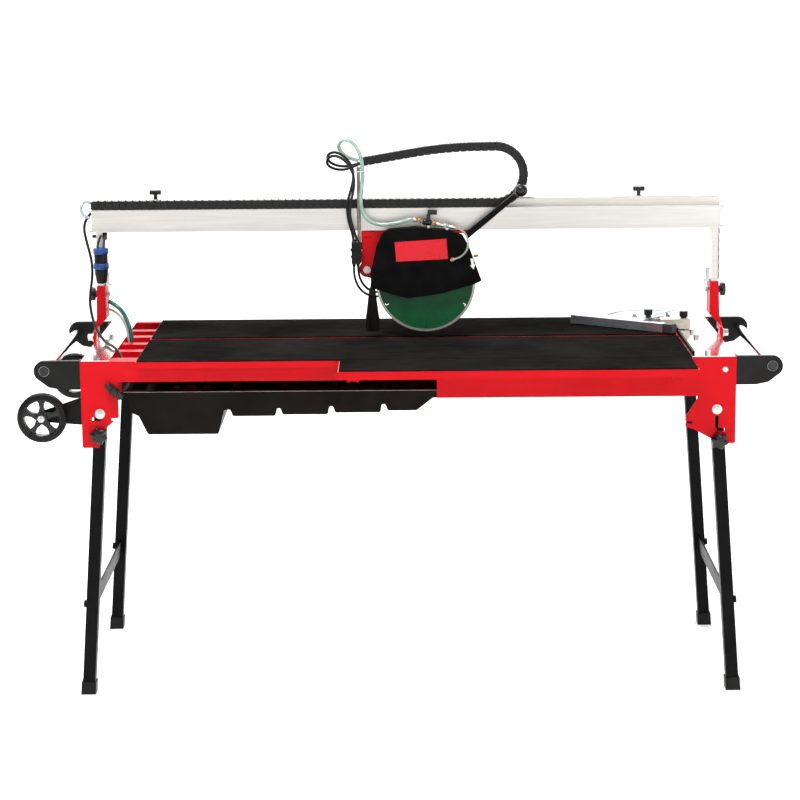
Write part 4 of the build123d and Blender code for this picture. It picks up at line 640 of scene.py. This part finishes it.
def chain_links(path_points, height=CHAIN_HEIGHT):
    """Links along (x, z) points with directions: side plates, and the bars across them in a beige-grey that
    paints the highlights along the chain.
    """
    y0, y1 = CHAIN_Y
    plates, bars = bmesh.new(), bmesh.new()
    for x, z, dx, dz in path_points:
        nx, nz = -dz, dx
        half = height / 2
        reach = PITCH * 0.47
        outline = [(-reach, -half * 0.8), (-reach * 0.86, -half), (reach * 0.86, -half), (reach, -half * 0.8),
                   (reach, half * 0.8), (reach * 0.86, half), (-reach * 0.86, half), (-reach, half * 0.8)]
        inner = [(-PITCH * 0.6, -half * 0.8), (PITCH * 0.6, -half * 0.8), (PITCH * 0.6, half * 0.8),
                 (-PITCH * 0.6, half * 0.8)]
        for shape, a, b in ((outline, y0, y0 + 2.4), (inner, y0 + 1.0, y0 + 3.4),
                            (outline, y1 - 2.4, y1), (inner, y1 - 3.4, y1 - 1.0)):
            loop = [at(x + u * dx + v * nx, a, z + u * dz + v * nz) for u, v in shape]
            add_prism(plates, loop, Vector((0, (b - a) / 1000, 0)))
        for side in (-1, 1):
            lid = [(-PITCH * 0.26, side * (half - 2.2)), (PITCH * 0.26, side * (half - 2.2)),
                   (PITCH * 0.26, side * half), (-PITCH * 0.26, side * half)]
            loop = [at(x + u * dx + v * nx, y0 + 2.4, z + u * dz + v * nz) for u, v in lid]
            add_prism(bars, loop, Vector((0, (y1 - y0 - 4.8) / 1000, 0)))
        pin = at(x - reach * 0.5 * dx, y0 + 0.05, z - reach * 0.5 * dz)
        add_lathe(plates, pin, Vector((0, -1, 0)), [(3.0, 0.0), (2.6, 0.4)], 12)
    return plates, bars


def straight_links(x0, z0, x1, z1):
    length = sqrt((x1 - x0) ** 2 + (z1 - z0) ** 2)
    count = max(1, round(length / PITCH))
    dx, dz = (x1 - x0) / length, (z1 - z0) / length
    steps = [(i + 0.5) / count for i in range(count)]
    return [(x0 + t * (x1 - x0), z0 + t * (z1 - z0), dx, dz) for t in steps]


def make_chain():
    base = LOOP[1] - LOOP_RADIUS
    top = LOOP[1] + LOOP_RADIUS
    for part, bm in zip(("plates", "bars"), chain_links(straight_links(-794, base, LOOP[0], base))):
        lower = finish_mesh(f"chain_lower_{part}", bm, CHAIN_LOOK[part])
        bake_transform(lower)
        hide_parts("chain_lower")
    count = round(pi * LOOP_RADIUS / PITCH)
    links = []
    for i in range(count):
        turn = -pi / 2 + pi * (i + 0.5) / count
        links.append((LOOP[0] + LOOP_RADIUS * cos(turn), LOOP[1] + LOOP_RADIUS * sin(turn),
                      -sin(turn), cos(turn)))
    for part, bm in zip(("plates", "bars"), chain_links(links)):
        loop = finish_mesh(f"chain_loop_{part}", bm, CHAIN_LOOK[part], "chain_loop")
        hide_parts("chain_loop")
    sag = [(LOOP[0], top), (175, top - 0.5), (130, top - 2), (90, top - 5), (50, top - 9.5), (5, top - 16.5),
           (-40, top - 24), (-80, top - 31), (-115, 1283)]
    for part, bm in zip(("plates", "bars"), chain_links(along_line(sag))):
        upper = finish_mesh(f"chain_upper_{part}", bm, CHAIN_LOOK[part])
        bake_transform(upper)
        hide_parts("chain_upper")


def along_line(points):
    """Evenly spaced link places and directions on a line of (x, z) points."""
    total = sum(sqrt((b[0] - a[0]) ** 2 + (b[1] - a[1]) ** 2) for a, b in zip(points, points[1:]))
    count = round(total / PITCH)
    places = []
    for i in range(count):
        left = (i + 0.5) * total / count
        for a, b in zip(points, points[1:]):
            run = sqrt((b[0] - a[0]) ** 2 + (b[1] - a[1]) ** 2)
            if left <= run:
                break
            left -= run
        t = left / run
        across, up = b[0] - a[0], b[1] - a[1]
        places.append((a[0] + across * t, a[1] + up * t, across / run, up / run))
    return places


# ---------------------------------------------------------------- cutting head details
def make_head_details():
    front = GUARD_FACE_Y
    bm = bmesh.new()
    loop = [at(-31.5, front, 1086), at(98, front, 1094), at(102, front, 1043), at(-28, front, 1037)]
    add_prism(bm, loop, Vector((0, -0.0005, 0)))
    finish_mesh("guard_label", bm, "label", "cutting_unit", edge=0.15)
    bm = bmesh.new()
    arrow = [(158, 1044), (165, 1043), (167, 1029), (171, 1030), (166, 1016), (157, 1026), (161, 1027)]
    add_prism(bm, [at(x, front, z) for x, z in arrow], Vector((0, -0.0005, 0)))
    finish_mesh("turn_arrow", bm, "white", "cutting_unit", edge=0.15)
    make_lever()
    make_valve()
    make_brush()
    make_ties()
    make_motor_details()
    bm = bmesh.new()
    add_lathe(bm, at(-102, 309.6, 1013), Vector((0, -1, 0)), [(8.5, 0.0), (8.5, 1.2)], 24)
    add_lathe(bm, at(-102, 308.4, 1013), Vector((0, -1, 0)), [(7.4, 0.0), (7.4, 3.4), (6.4, 4.4)], 6)
    add_lathe(bm, at(-102, 304.0, 1013), Vector((0, -1, 0)), [(3.4, 0.0), (3.4, 1.6), (2.6, 2.4)], 16)
    finish_mesh("swing_bolt_head", bm, "zinc", "head", edge=0.2)
    bm = bmesh.new()
    for x in (-108, -96):
        add_lathe(bm, at(x + 4, 316.8, 1098), Vector((0, -1, 0)), [(3.6, 0.0), (3.6, 1.8), (2.4, 2.6)], 16)
    finish_mesh("bracket_rivets", bm, "red", "head")


def make_lever():
    foot, ball = Vector((140.0, 1092.0)), Vector((286.0, 1212.0))
    ahead = (ball - foot).normalized()
    side = Vector((-ahead.y, ahead.x))
    start, end = foot + ahead * 10, ball - ahead * 14
    bm = bmesh.new()
    outline = [start + side * 8, end + side * 6.5, end - side * 6.5, start - side * 8]
    add_prism(bm, [at(p.x, 292, p.y) for p in outline], Vector((0, 0.012, 0)))
    bar = finish_mesh("lever_bar", bm, "black_coat", "cutting_unit", edge=2.2)
    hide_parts("plunge_handle")
    bm = bmesh.new()
    collar = ball - ahead * 21
    add_lathe(bm, at(collar.x, 298, collar.y), Vector((ahead.x, 0, ahead.y)),
              [(6.0, 0), (7.4, 1.5), (7.4, 7), (5.8, 9)], 24)
    finish_mesh("lever_collar", bm, "knob", "cutting_unit")
    bm = bmesh.new()
    bmesh.ops.create_uvsphere(bm, u_segments=40, v_segments=24, radius=0.016)
    bmesh.ops.translate(bm, verts=bm.verts, vec=at(286, 298, 1212))
    ball_obj = finish_mesh("lever_ball", bm, "knob", "cutting_unit", smooth=180)
    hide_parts("plunge_handle")


def make_valve():
    a, b = Vector((20.0, 1141.0)), Vector((122.0, 1120.0))
    ahead = (b - a).normalized()
    axis = Vector((ahead.x, 0, ahead.y))

    def turned(name, start, profile, material, sides=24, edge=0.0):
        p = a + ahead * start
        bm = bmesh.new()
        add_lathe(bm, at(p.x, 294, p.y), axis, profile, sides)
        return finish_mesh(name, bm, material, "cutting_unit", edge=edge)

    barb = [(4.2, -6), (4.9, -5), (4.2, -2), (4.9, -1), (4.2, 2), (4.2, 6)]
    turned("valve_barb", 2, barb, "brass")
    turned("valve_hose_clip", -5, [(6.0, 0), (6.5, 0.6), (6.5, 6.4), (6.0, 7)], "zinc")
    turned("valve_nut_inlet", 8, [(6.8, 0), (7.2, 0.8), (7.2, 8), (6.8, 9)], "brass", 6, 0.3)
    body = turned("valve_core", 19, [(5.5, 0), (8.0, 3), (8.6, 8), (8.6, 14), (8.0, 20), (5.5, 24)], "knob")
    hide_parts("valve_body")
    turned("valve_nut_outlet", 45, [(6.6, 0), (7.0, 0.8), (7.0, 9), (6.6, 10)], "brass", 6, 0.3)
    turned("valve_elbow", 55, [(4.6, 0), (5.4, 2), (5.4, 14), (4.4, 18)], "zinc")
    turned("valve_union", 74, [(6.2, 0), (6.7, 0.8), (6.7, 9), (6.2, 10)], "zinc", 6, 0.3)
    turned("valve_nipple", 84, [(4.2, 0), (4.2, 6), (5.0, 8), (5.0, 15), (3.4, 20)], "zinc")
    mid = a + ahead * 34
    bm = bmesh.new()
    add_lathe(bm, at(mid.x, 294, mid.y + 6), Vector((0, 0, 1)), [(5.4, 0), (5.4, 4), (3.4, 5), (3.4, 9)], 20)
    finish_mesh("valve_gland", bm, "knob", "cutting_unit")
    bm = bmesh.new()
    add_box(bm, mid.x - 3, mid.x + 3, 291, 297, 1118, mid.y - 6)
    add_box(bm, 96, 103, 290, 298, 1113, 1122)
    finish_mesh("valve_posts", bm, "zinc", "cutting_unit", edge=0.5)
    bm = bmesh.new()
    lean = Vector((1, 0, 0.15))
    add_lathe(bm, at(166, 296, 1049), lean, [(4.4, 0), (4.4, 8), (3.0, 8.6), (3.0, 12)], 20)
    add_lathe(bm, at(173, 296, 1050), lean, [(5.4, 0), (5.4, 3.4)], 6)
    finish_mesh("nozzle_screw", bm, "brass", "cutting_unit")
    nipple = [(5.6, 0), (5.6, 2), (3.6, 2.6), (3.6, 6.4), (2.6, 7)]
    lathe("tube_nipple", at(113, GUARD_FACE_Y, 1041), (0, -1, 0), nipple, "brass", "cutting_unit", 20)


def make_brush():
    """Bristle tufts that fan out from a holder under the guard."""
    bm = bmesh.new()
    loop = [at(-97, 287, 966), at(-93, 287, 971.4), at(-81, 287, 965.8), at(-80, 287, 950), at(-99, 287, 950)]
    add_prism(bm, loop, Vector((0, 0.026, 0)))
    holder = finish_mesh("brush_holder", bm, "plastic", "cutting_unit", edge=0.8)
    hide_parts("splash_brush")
    bm = bmesh.new()
    for _ in range(BRISTLES):
        u, v = random.random(), random.random()
        x0, x1 = -97.5 + 16.5 * u, -108.5 + 41.0 * u
        y0, y1 = 289 + 22.0 * v, 288.6 + 23.0 * v
        end = 856.5 + 9.0 * random.random() ** 2 + (4 if 0.1 < u < 0.9 else 10) * random.random()
        knee = 0.55
        sway = random.uniform(-1.6, 1.6)
        stations = [(0.0, 0.5), (knee, 0.5), (1.0, 0.34)]
        rings = []
        for t, r in stations:
            x = x0 + (x1 - x0) * t ** 1.25 + sway * t * t
            x = min(max(x, -108.6), -68 if t > 0.9 else -78 + 10 * t)
            y = y0 + (y1 - y0) * t
            z = 958 + (end - 958) * t
            rings.append([bm.verts.new(at(x + r * cos(a), y + r * sin(a), z)) for a in (0.3, 2.4, 4.5)])
        for p, q in zip(rings, rings[1:]):
            for k in range(3):
                bm.faces.new((p[k], p[(k + 1) % 3], q[(k + 1) % 3], q[k]))
        bm.faces.new(rings[-1])
    mesh = bpy.data.meshes.new("brush_bristles")
    bm.to_mesh(mesh)
    bm.free()
    bristles = bpy.data.objects.new("brush_bristles", mesh)
    mesh.materials.append(M["bristle"])
    bpy.context.scene.collection.objects.link(bristles)
    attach(bristles, "cutting_unit")


def make_ties():
    """Clear ties round the cable bundle on the chain post, and collars at the gland."""
    for z, x, y, r in ((1262, -122, 309, 19), (1064, -127, 304, 15.5)):
        bm = bmesh.new()
        turns = [2 * pi * i / 28 for i in range(29)]
        add_tube(bm, [at(x + r * 0.9 * cos(t), y + r * 0.8 * sin(t), z) for t in turns], 1.1, 8)
        add_box(bm, x - r * 0.9 - 3, x - r * 0.9 + 2, y - 3, y + 3, z - 2.6, z + 2.6)
        finish_mesh(f"bundle_tie_{z}", bm, "tie", "head")
    bm = bmesh.new()
    for x, y in ((-134, 305), (-125, 297)):
        add_lathe(bm, at(x, y, 1082), Vector((0, 0, 1)), [(6.4, 0), (6.4, 4), (4.6, 6), (4.2, 9)], 20)
    for x, y in ((-134, 300), (-124, 303)):
        add_lathe(bm, at(x, y, 1034), Vector((0, 0, -1)), [(6.0, 0), (6.0, 4), (4.2, 6), (3.8, 10)], 20)
    finish_mesh("gland_collars", bm, "knob", "head")


def make_motor_details():
    """Fan cowl with its slots, screws on the end and the lid of the terminal box."""
    bm = bmesh.new()
    add_lathe(bm, at(46, 527.6, 982), Vector((0, 1, 0)), [(56, -26), (57, -25), (57, -1), (55, 0.3)], 64)
    finish_mesh("fan_cowl", bm, "plastic", "cutting_unit")
    bm = bmesh.new()
    for ring, count in ((18, 8), (30, 14), (42, 20)):
        for i in range(count):
            t = 2 * pi * i / count
            x, z = 46 + ring * cos(t), 982 + ring * sin(t)
            add_lathe(bm, at(x, 527.8, z), Vector((0, 1, 0)), [(3.4, 0), (3.4, 0.5)], 12)
    finish_mesh("cowl_holes", bm, "bristle", "cutting_unit")
    bm = bmesh.new()
    add_box(bm, 9.5, 82.5, 397.5, 478.5, 1062, 1066)
    finish_mesh("terminal_lid", bm, "plastic", "cutting_unit", edge=1.2)
    bm = bmesh.new()
    for x in (15, 77):
        for y in (403, 473):
            add_lathe(bm, at(x, y, 1066), Vector((0, 0, 1)), [(3.0, -0.5), (3.0, 0.6), (2.2, 1.2)], 16)
    finish_mesh("terminal_screws", bm, "zinc", "cutting_unit")


# ---------------------------------------------------------------- knobs
def lobed(count, depth, sharp=1.0):
    return lambda turn: 1.0 - depth * (0.5 - 0.5 * cos(count * turn)) ** sharp


def make_knobs():
    lean = 0.07466
    stars = (("left_star_knob", -745 - 53 * lean, 657), ("right_star_knob", 745 + 76 * lean, 634))
    for node, x, z in stars:
        bm = bmesh.new()
        profile = [(9, -4), (17, -4.6), (21.4, -6.5), (22.6, -10), (21.6, -14.5), (18, -17.4), (6, -18)]
        add_lathe(bm, at(x, 0, z), Vector((0, 1, 0)), profile, 72, lobed(6, 0.24, 0.8))
        knob = finish_mesh(f"{node}_grip", bm, "knob", node, smooth=60)
        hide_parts(node)
        bm = bmesh.new()
        add_lathe(bm, at(x, 8.2, z), Vector((0, -1, 0)), [(4, 0), (4, 8), (9, 8.6), (9.4, 12.5), (8, 14)], 32)
        finish_mesh(f"{node}_stud", bm, "zinc", node)
    for node, side in (("left_clamp_knob", -1), ("right_clamp_knob", 1)):
        profile = [(8.6, 0.2), (9, 1), (9, 8.6), (15.5, 9.4), (16.9, 11), (17, 20), (15.6, 21.8), (6, 22)]
        knob = lathe(f"{node}_grip", at(side * 784.5, 350, 952), (side, 0, 0), profile, "knob", node, 80,
                     lobed(10, 0.1, 1.0), 50)
        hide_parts(node)
        cap = [(6.5, 0), (6.5, 0.5), (5.5, 0.8)]
        lathe(f"{node}_cap", at(side * 806.3, 350, 952), (side, 0, 0), cap, "cap", node, 32)
    for x in (-637.0, 587.0):
        profile = [(13.4, 0), (14.5, 1.4), (14.5, 8.6), (13.0, 10), (5, 10.2)]
        lathe(f"stop_grip_{int(abs(x))}", at(x, 376, 1201.6), (0, 0, 1), profile, "knob", "bridge", 60,
              lobed(6, 0.22, 0.8))
    make_wing_knob()


def make_wing_knob():
    """Wing knob of the tray, its two ears turned on a slant."""
    cx, cz = -708.0, 767.0
    ahead = Vector((cos(radians(-42)), sin(radians(-42))))
    side = Vector((-ahead.y, ahead.x))
    outline = [(-24, -3), (-22, -8), (-13, -8), (-7, -10.5), (7, -10.5), (13, -8), (22, -8), (24, -3),
               (24, 4), (20, 7.5), (12, 6.5), (6, 10), (-6, 10), (-12, 6.5), (-20, 7.5), (-24, 4)]
    bm = bmesh.new()
    loop = []
    for u, v in outline:
        p = ahead * (u * 1.06) + side * (v * 1.05)
        loop.append(at(cx + p.x, -13, cz + p.y))
    add_prism(bm, loop, Vector((0, 0.011, 0)))
    grip = finish_mesh("tray_knob_wings", bm, "knob", "tray_knob", edge=2.6)
    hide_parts("tray_knob")
    hub = [(9.5, 0), (10, 1), (10, 17), (8, 20), (3, 20.6)]
    lathe("tray_knob_hub", at(cx, -0.6, cz), (0, -1, 0), hub, "knob", "tray_knob", 32)


# ---------------------------------------------------------------- wheels, tower and frame details
def make_wheel(node, y):
    """Ribbed tyre on a five-spoke centre with a hub cap and its screw."""
    cx, cz = -889.0, 697.0
    bm = bmesh.new()
    tyre = [(47, -14), (56, -14), (58.6, -12), (60, -8), (60, -2.4), (59, -1.6), (59, 1.6), (60, 2.4),
            (60, 8), (58.6, 12), (56, 14), (47, 14)]
    ring(bm, at(cx, y, cz), tyre)
    obj = finish_mesh(f"{node}_tyre", bm, "plastic", node)
    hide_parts(node)
    bm = bmesh.new()
    ring(bm, at(cx, y, cz), [(43, -11), (45, -13), (47.6, -13), (47.6, 13), (45, 13), (43, 11)])
    ring(bm, at(cx, y, cz), [(5.2, -13.4), (13, -13.4), (15, -11), (15, 11), (13, 13.4), (5.2, 13.4)])
    for i in range(5):
        t = 2 * pi * i / 5 + pi / 2
        u, w = Vector((cos(t), sin(t))), Vector((-sin(t), cos(t)))
        shape = [(13, -8.5), (26, -5.0), (36, -6.5), (44.5, -12), (44.5, 12), (36, 6.5), (26, 5.0), (13, 8.5)]
        loop = []
        for a, b in shape:
            p = u * a + w * b
            loop.append(at(cx + p.x, y - 8, cz + p.y))
        add_prism(bm, loop, Vector((0, 0.016, 0)))
    finish_mesh(f"{node}_spokes", bm, "knob", node, edge=0.9)
    out = -1 if y < 300 else 1
    face = y + out * 13.6
    bm = bmesh.new()
    add_lathe(bm, at(cx, face, cz), Vector((0, out, 0)), [(8.4, -0.4), (8.4, 0.3)], 32)
    finish_mesh(f"{node}_washer", bm, "zinc", node)


def ring(bm, centre, profile):
    """A hollow ring about y from (radius, y) pairs."""
    loops = []
    for i in range(RING_SIDES):
        t = 2 * pi * i / RING_SIDES
        loops.append([bm.verts.new(centre + Vector((r * cos(t), d, r * sin(t))) / 1000) for r, d in profile])
    count = len(profile)
    for i in range(RING_SIDES):
        a, b = loops[i], loops[(i + 1) % RING_SIDES]
        for k in range(count):
            bm.faces.new((a[k], a[(k + 1) % count], b[(k + 1) % count], b[k]))


def make_connector():
    """Blue and black cable connector that hangs at the left tower, its two leads going up to the beam."""
    origin = at(-766, 268, 990)
    black = lathe("connector_shell", origin, (0, 0, 1),
                  [(9, 0.3), (12, 1.2), (13.5, 8), (16.6, 26), (16.8, 34), (16.8, 84), (14, 88), (8, 88.8)],
                  "plastic", "bridge", 48)
    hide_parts("power_connector")
    for low, high, name in ((36.5, 51.5, "middle"), (74, 88.9, "top")):
        bm = bmesh.new()
        profile = [(17.2, 0), (19.2, 1.6), (19.2, high - low - 1.6), (17.2, high - low)]
        base = origin + Vector((0, 0, low / 1000))
        add_lathe(bm, base, Vector((0, 0, 1)), profile, 72, lobed(24, 0.035, 1.0))
        finish_mesh(f"connector_ring_{name}", bm, "blue", "bridge", smooth=50)
    leads = ((1.0, 268, 1074), (1.05, 272, 1084), (0.9, 288, 1094), (0.8, 306, 1100), (0.75, 324, 1103),
             (0.75, 336, 1104))
    bm = bmesh.new()
    for dx in (-8, 7):
        add_tube(bm, [at(-766 + dx * spacing, y, z) for spacing, y, z in leads], 3.1, 12)
    finish_mesh("connector_leads", bm, "cable", "bridge")
    bm = bmesh.new()
    add_box(bm, -780, -758, 328, 344, 1092, 1110.6)
    add_box(bm, -795, -778, 331, 341, 1097, 1104)
    finish_mesh("lead_clamp", bm, "plastic", "bridge", edge=1.0)
    bm = bmesh.new()
    add_box(bm, -771, -768, 285, 322.2, 1049, 1053)
    finish_mesh("connector_clip", bm, "zinc", "bridge", edge=0.5)


def make_tray_rim():
    """Rolled bead along the front and the ends of the tray's rim, in a pale steel colour that paints the
    rim's highlight line.
    """
    low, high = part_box("water_tray")
    x0, x1 = low[0] + 0.0012, high[0] - 0.0012
    y0, y1 = low[1] + 0.0006, high[1] - 0.0012
    z = high[2] - 0.0012
    bm = bmesh.new()
    add_tube(bm, [Vector((x0, y1, z)), Vector((x0, y0 + 0.004, z)), Vector((x0 + 0.004, y0, z)),
                  Vector((x1 - 0.004, y0, z)), Vector((x1, y0 + 0.004, z)), Vector((x1, y1, z))], 1.2, 10)
    # the pale post_steel colour on the dark tray is a painted highlight line
    finish_mesh("tray_rim_highlight_bead", bm, "post", "tray")


def make_frame_details():
    for side in (-1, 1):
        for y, out in ((1.2, -1), (612.8, 1)):
            lathe(f"tube_plug_{'l' if side < 0 else 'r'}_{int(y)}", at(side * 877, y, 815), (0, out, 0),
                  [(10.4, -3), (12.2, 0.2), (12.0, 1.2), (9.6, 1.6), (3, 1.7)], "cap", "frame", 40)
    bm = bmesh.new()
    for x in (-745, 745):
        add_lathe(bm, at(x, -8.2, 710), Vector((0, -1, 0)), [(4.6, -0.4), (4.6, 0.6), (3.2, 1.0)], 20)
    finish_mesh("pivot_centres", bm, "zinc", "frame")
    bm = bmesh.new()
    for y, out in ((9, -1), (605, 1)):
        add_lathe(bm, at(-889, y + out * 7.2, 697), Vector((0, out, 0)),
                  [(4.4, -0.4), (4.4, 0.5), (3.0, 1.0)], 16)
    finish_mesh("axle_centres", bm, "zinc", "frame")
    bm = bmesh.new()
    # thin black strip down the right upright's outer edge: a painted shadow of the profile's edge
    seal = [at(785.6 + (0.9 if i % 2 else 0.0), 330, 980 + i * 11) for i in range(13)]
    add_tube(bm, seal, 1.4, 8)
    finish_mesh("upright_edge_shadow_strip", bm, "cable", "bridge")


def make_fence_details():
    """Grey end cap of the fence bar and the scale screw on its quadrant."""
    turn = radians(144)
    u, v = Vector((cos(turn), sin(turn))), Vector((-sin(turn), cos(turn)))

    def place(a, b, z):
        p = Vector((623.0, 453.0)) + u * a + v * b
        return at(p.x, p.y, z)

    bm = bmesh.new()
    loop = [place(a, b, 844.2) for a, b in ((-119.6, 65.4), (-92, 65.4), (-92, 88.6), (-119.6, 88.6))]
    add_prism(bm, loop, Vector((0, 0, 0.0227)))
    finish_mesh("fence_end_cap", bm, "cap", "fence", edge=1.0)
    bm = bmesh.new()
    add_lathe(bm, place(30, 20, 866.4), Vector((0, 0, 1)), [(8, 0), (8, 1.6)], 28)
    add_lathe(bm, place(30, 20, 868), Vector((0, 0, 1)), [(5.4, 0), (5.4, 4.4), (4.6, 5)], 6)
    finish_mesh("fence_nut", bm, "zinc", "fence", edge=0.2)


make_camera()
make_stage()
make_cords()
make_chain()
make_head_details()
make_knobs()
make_wheel("front_wheel", 24.0)
make_wheel("rear_wheel", 590.0)
make_connector()
make_frame_details()
make_tray_rim()
make_fence_details()
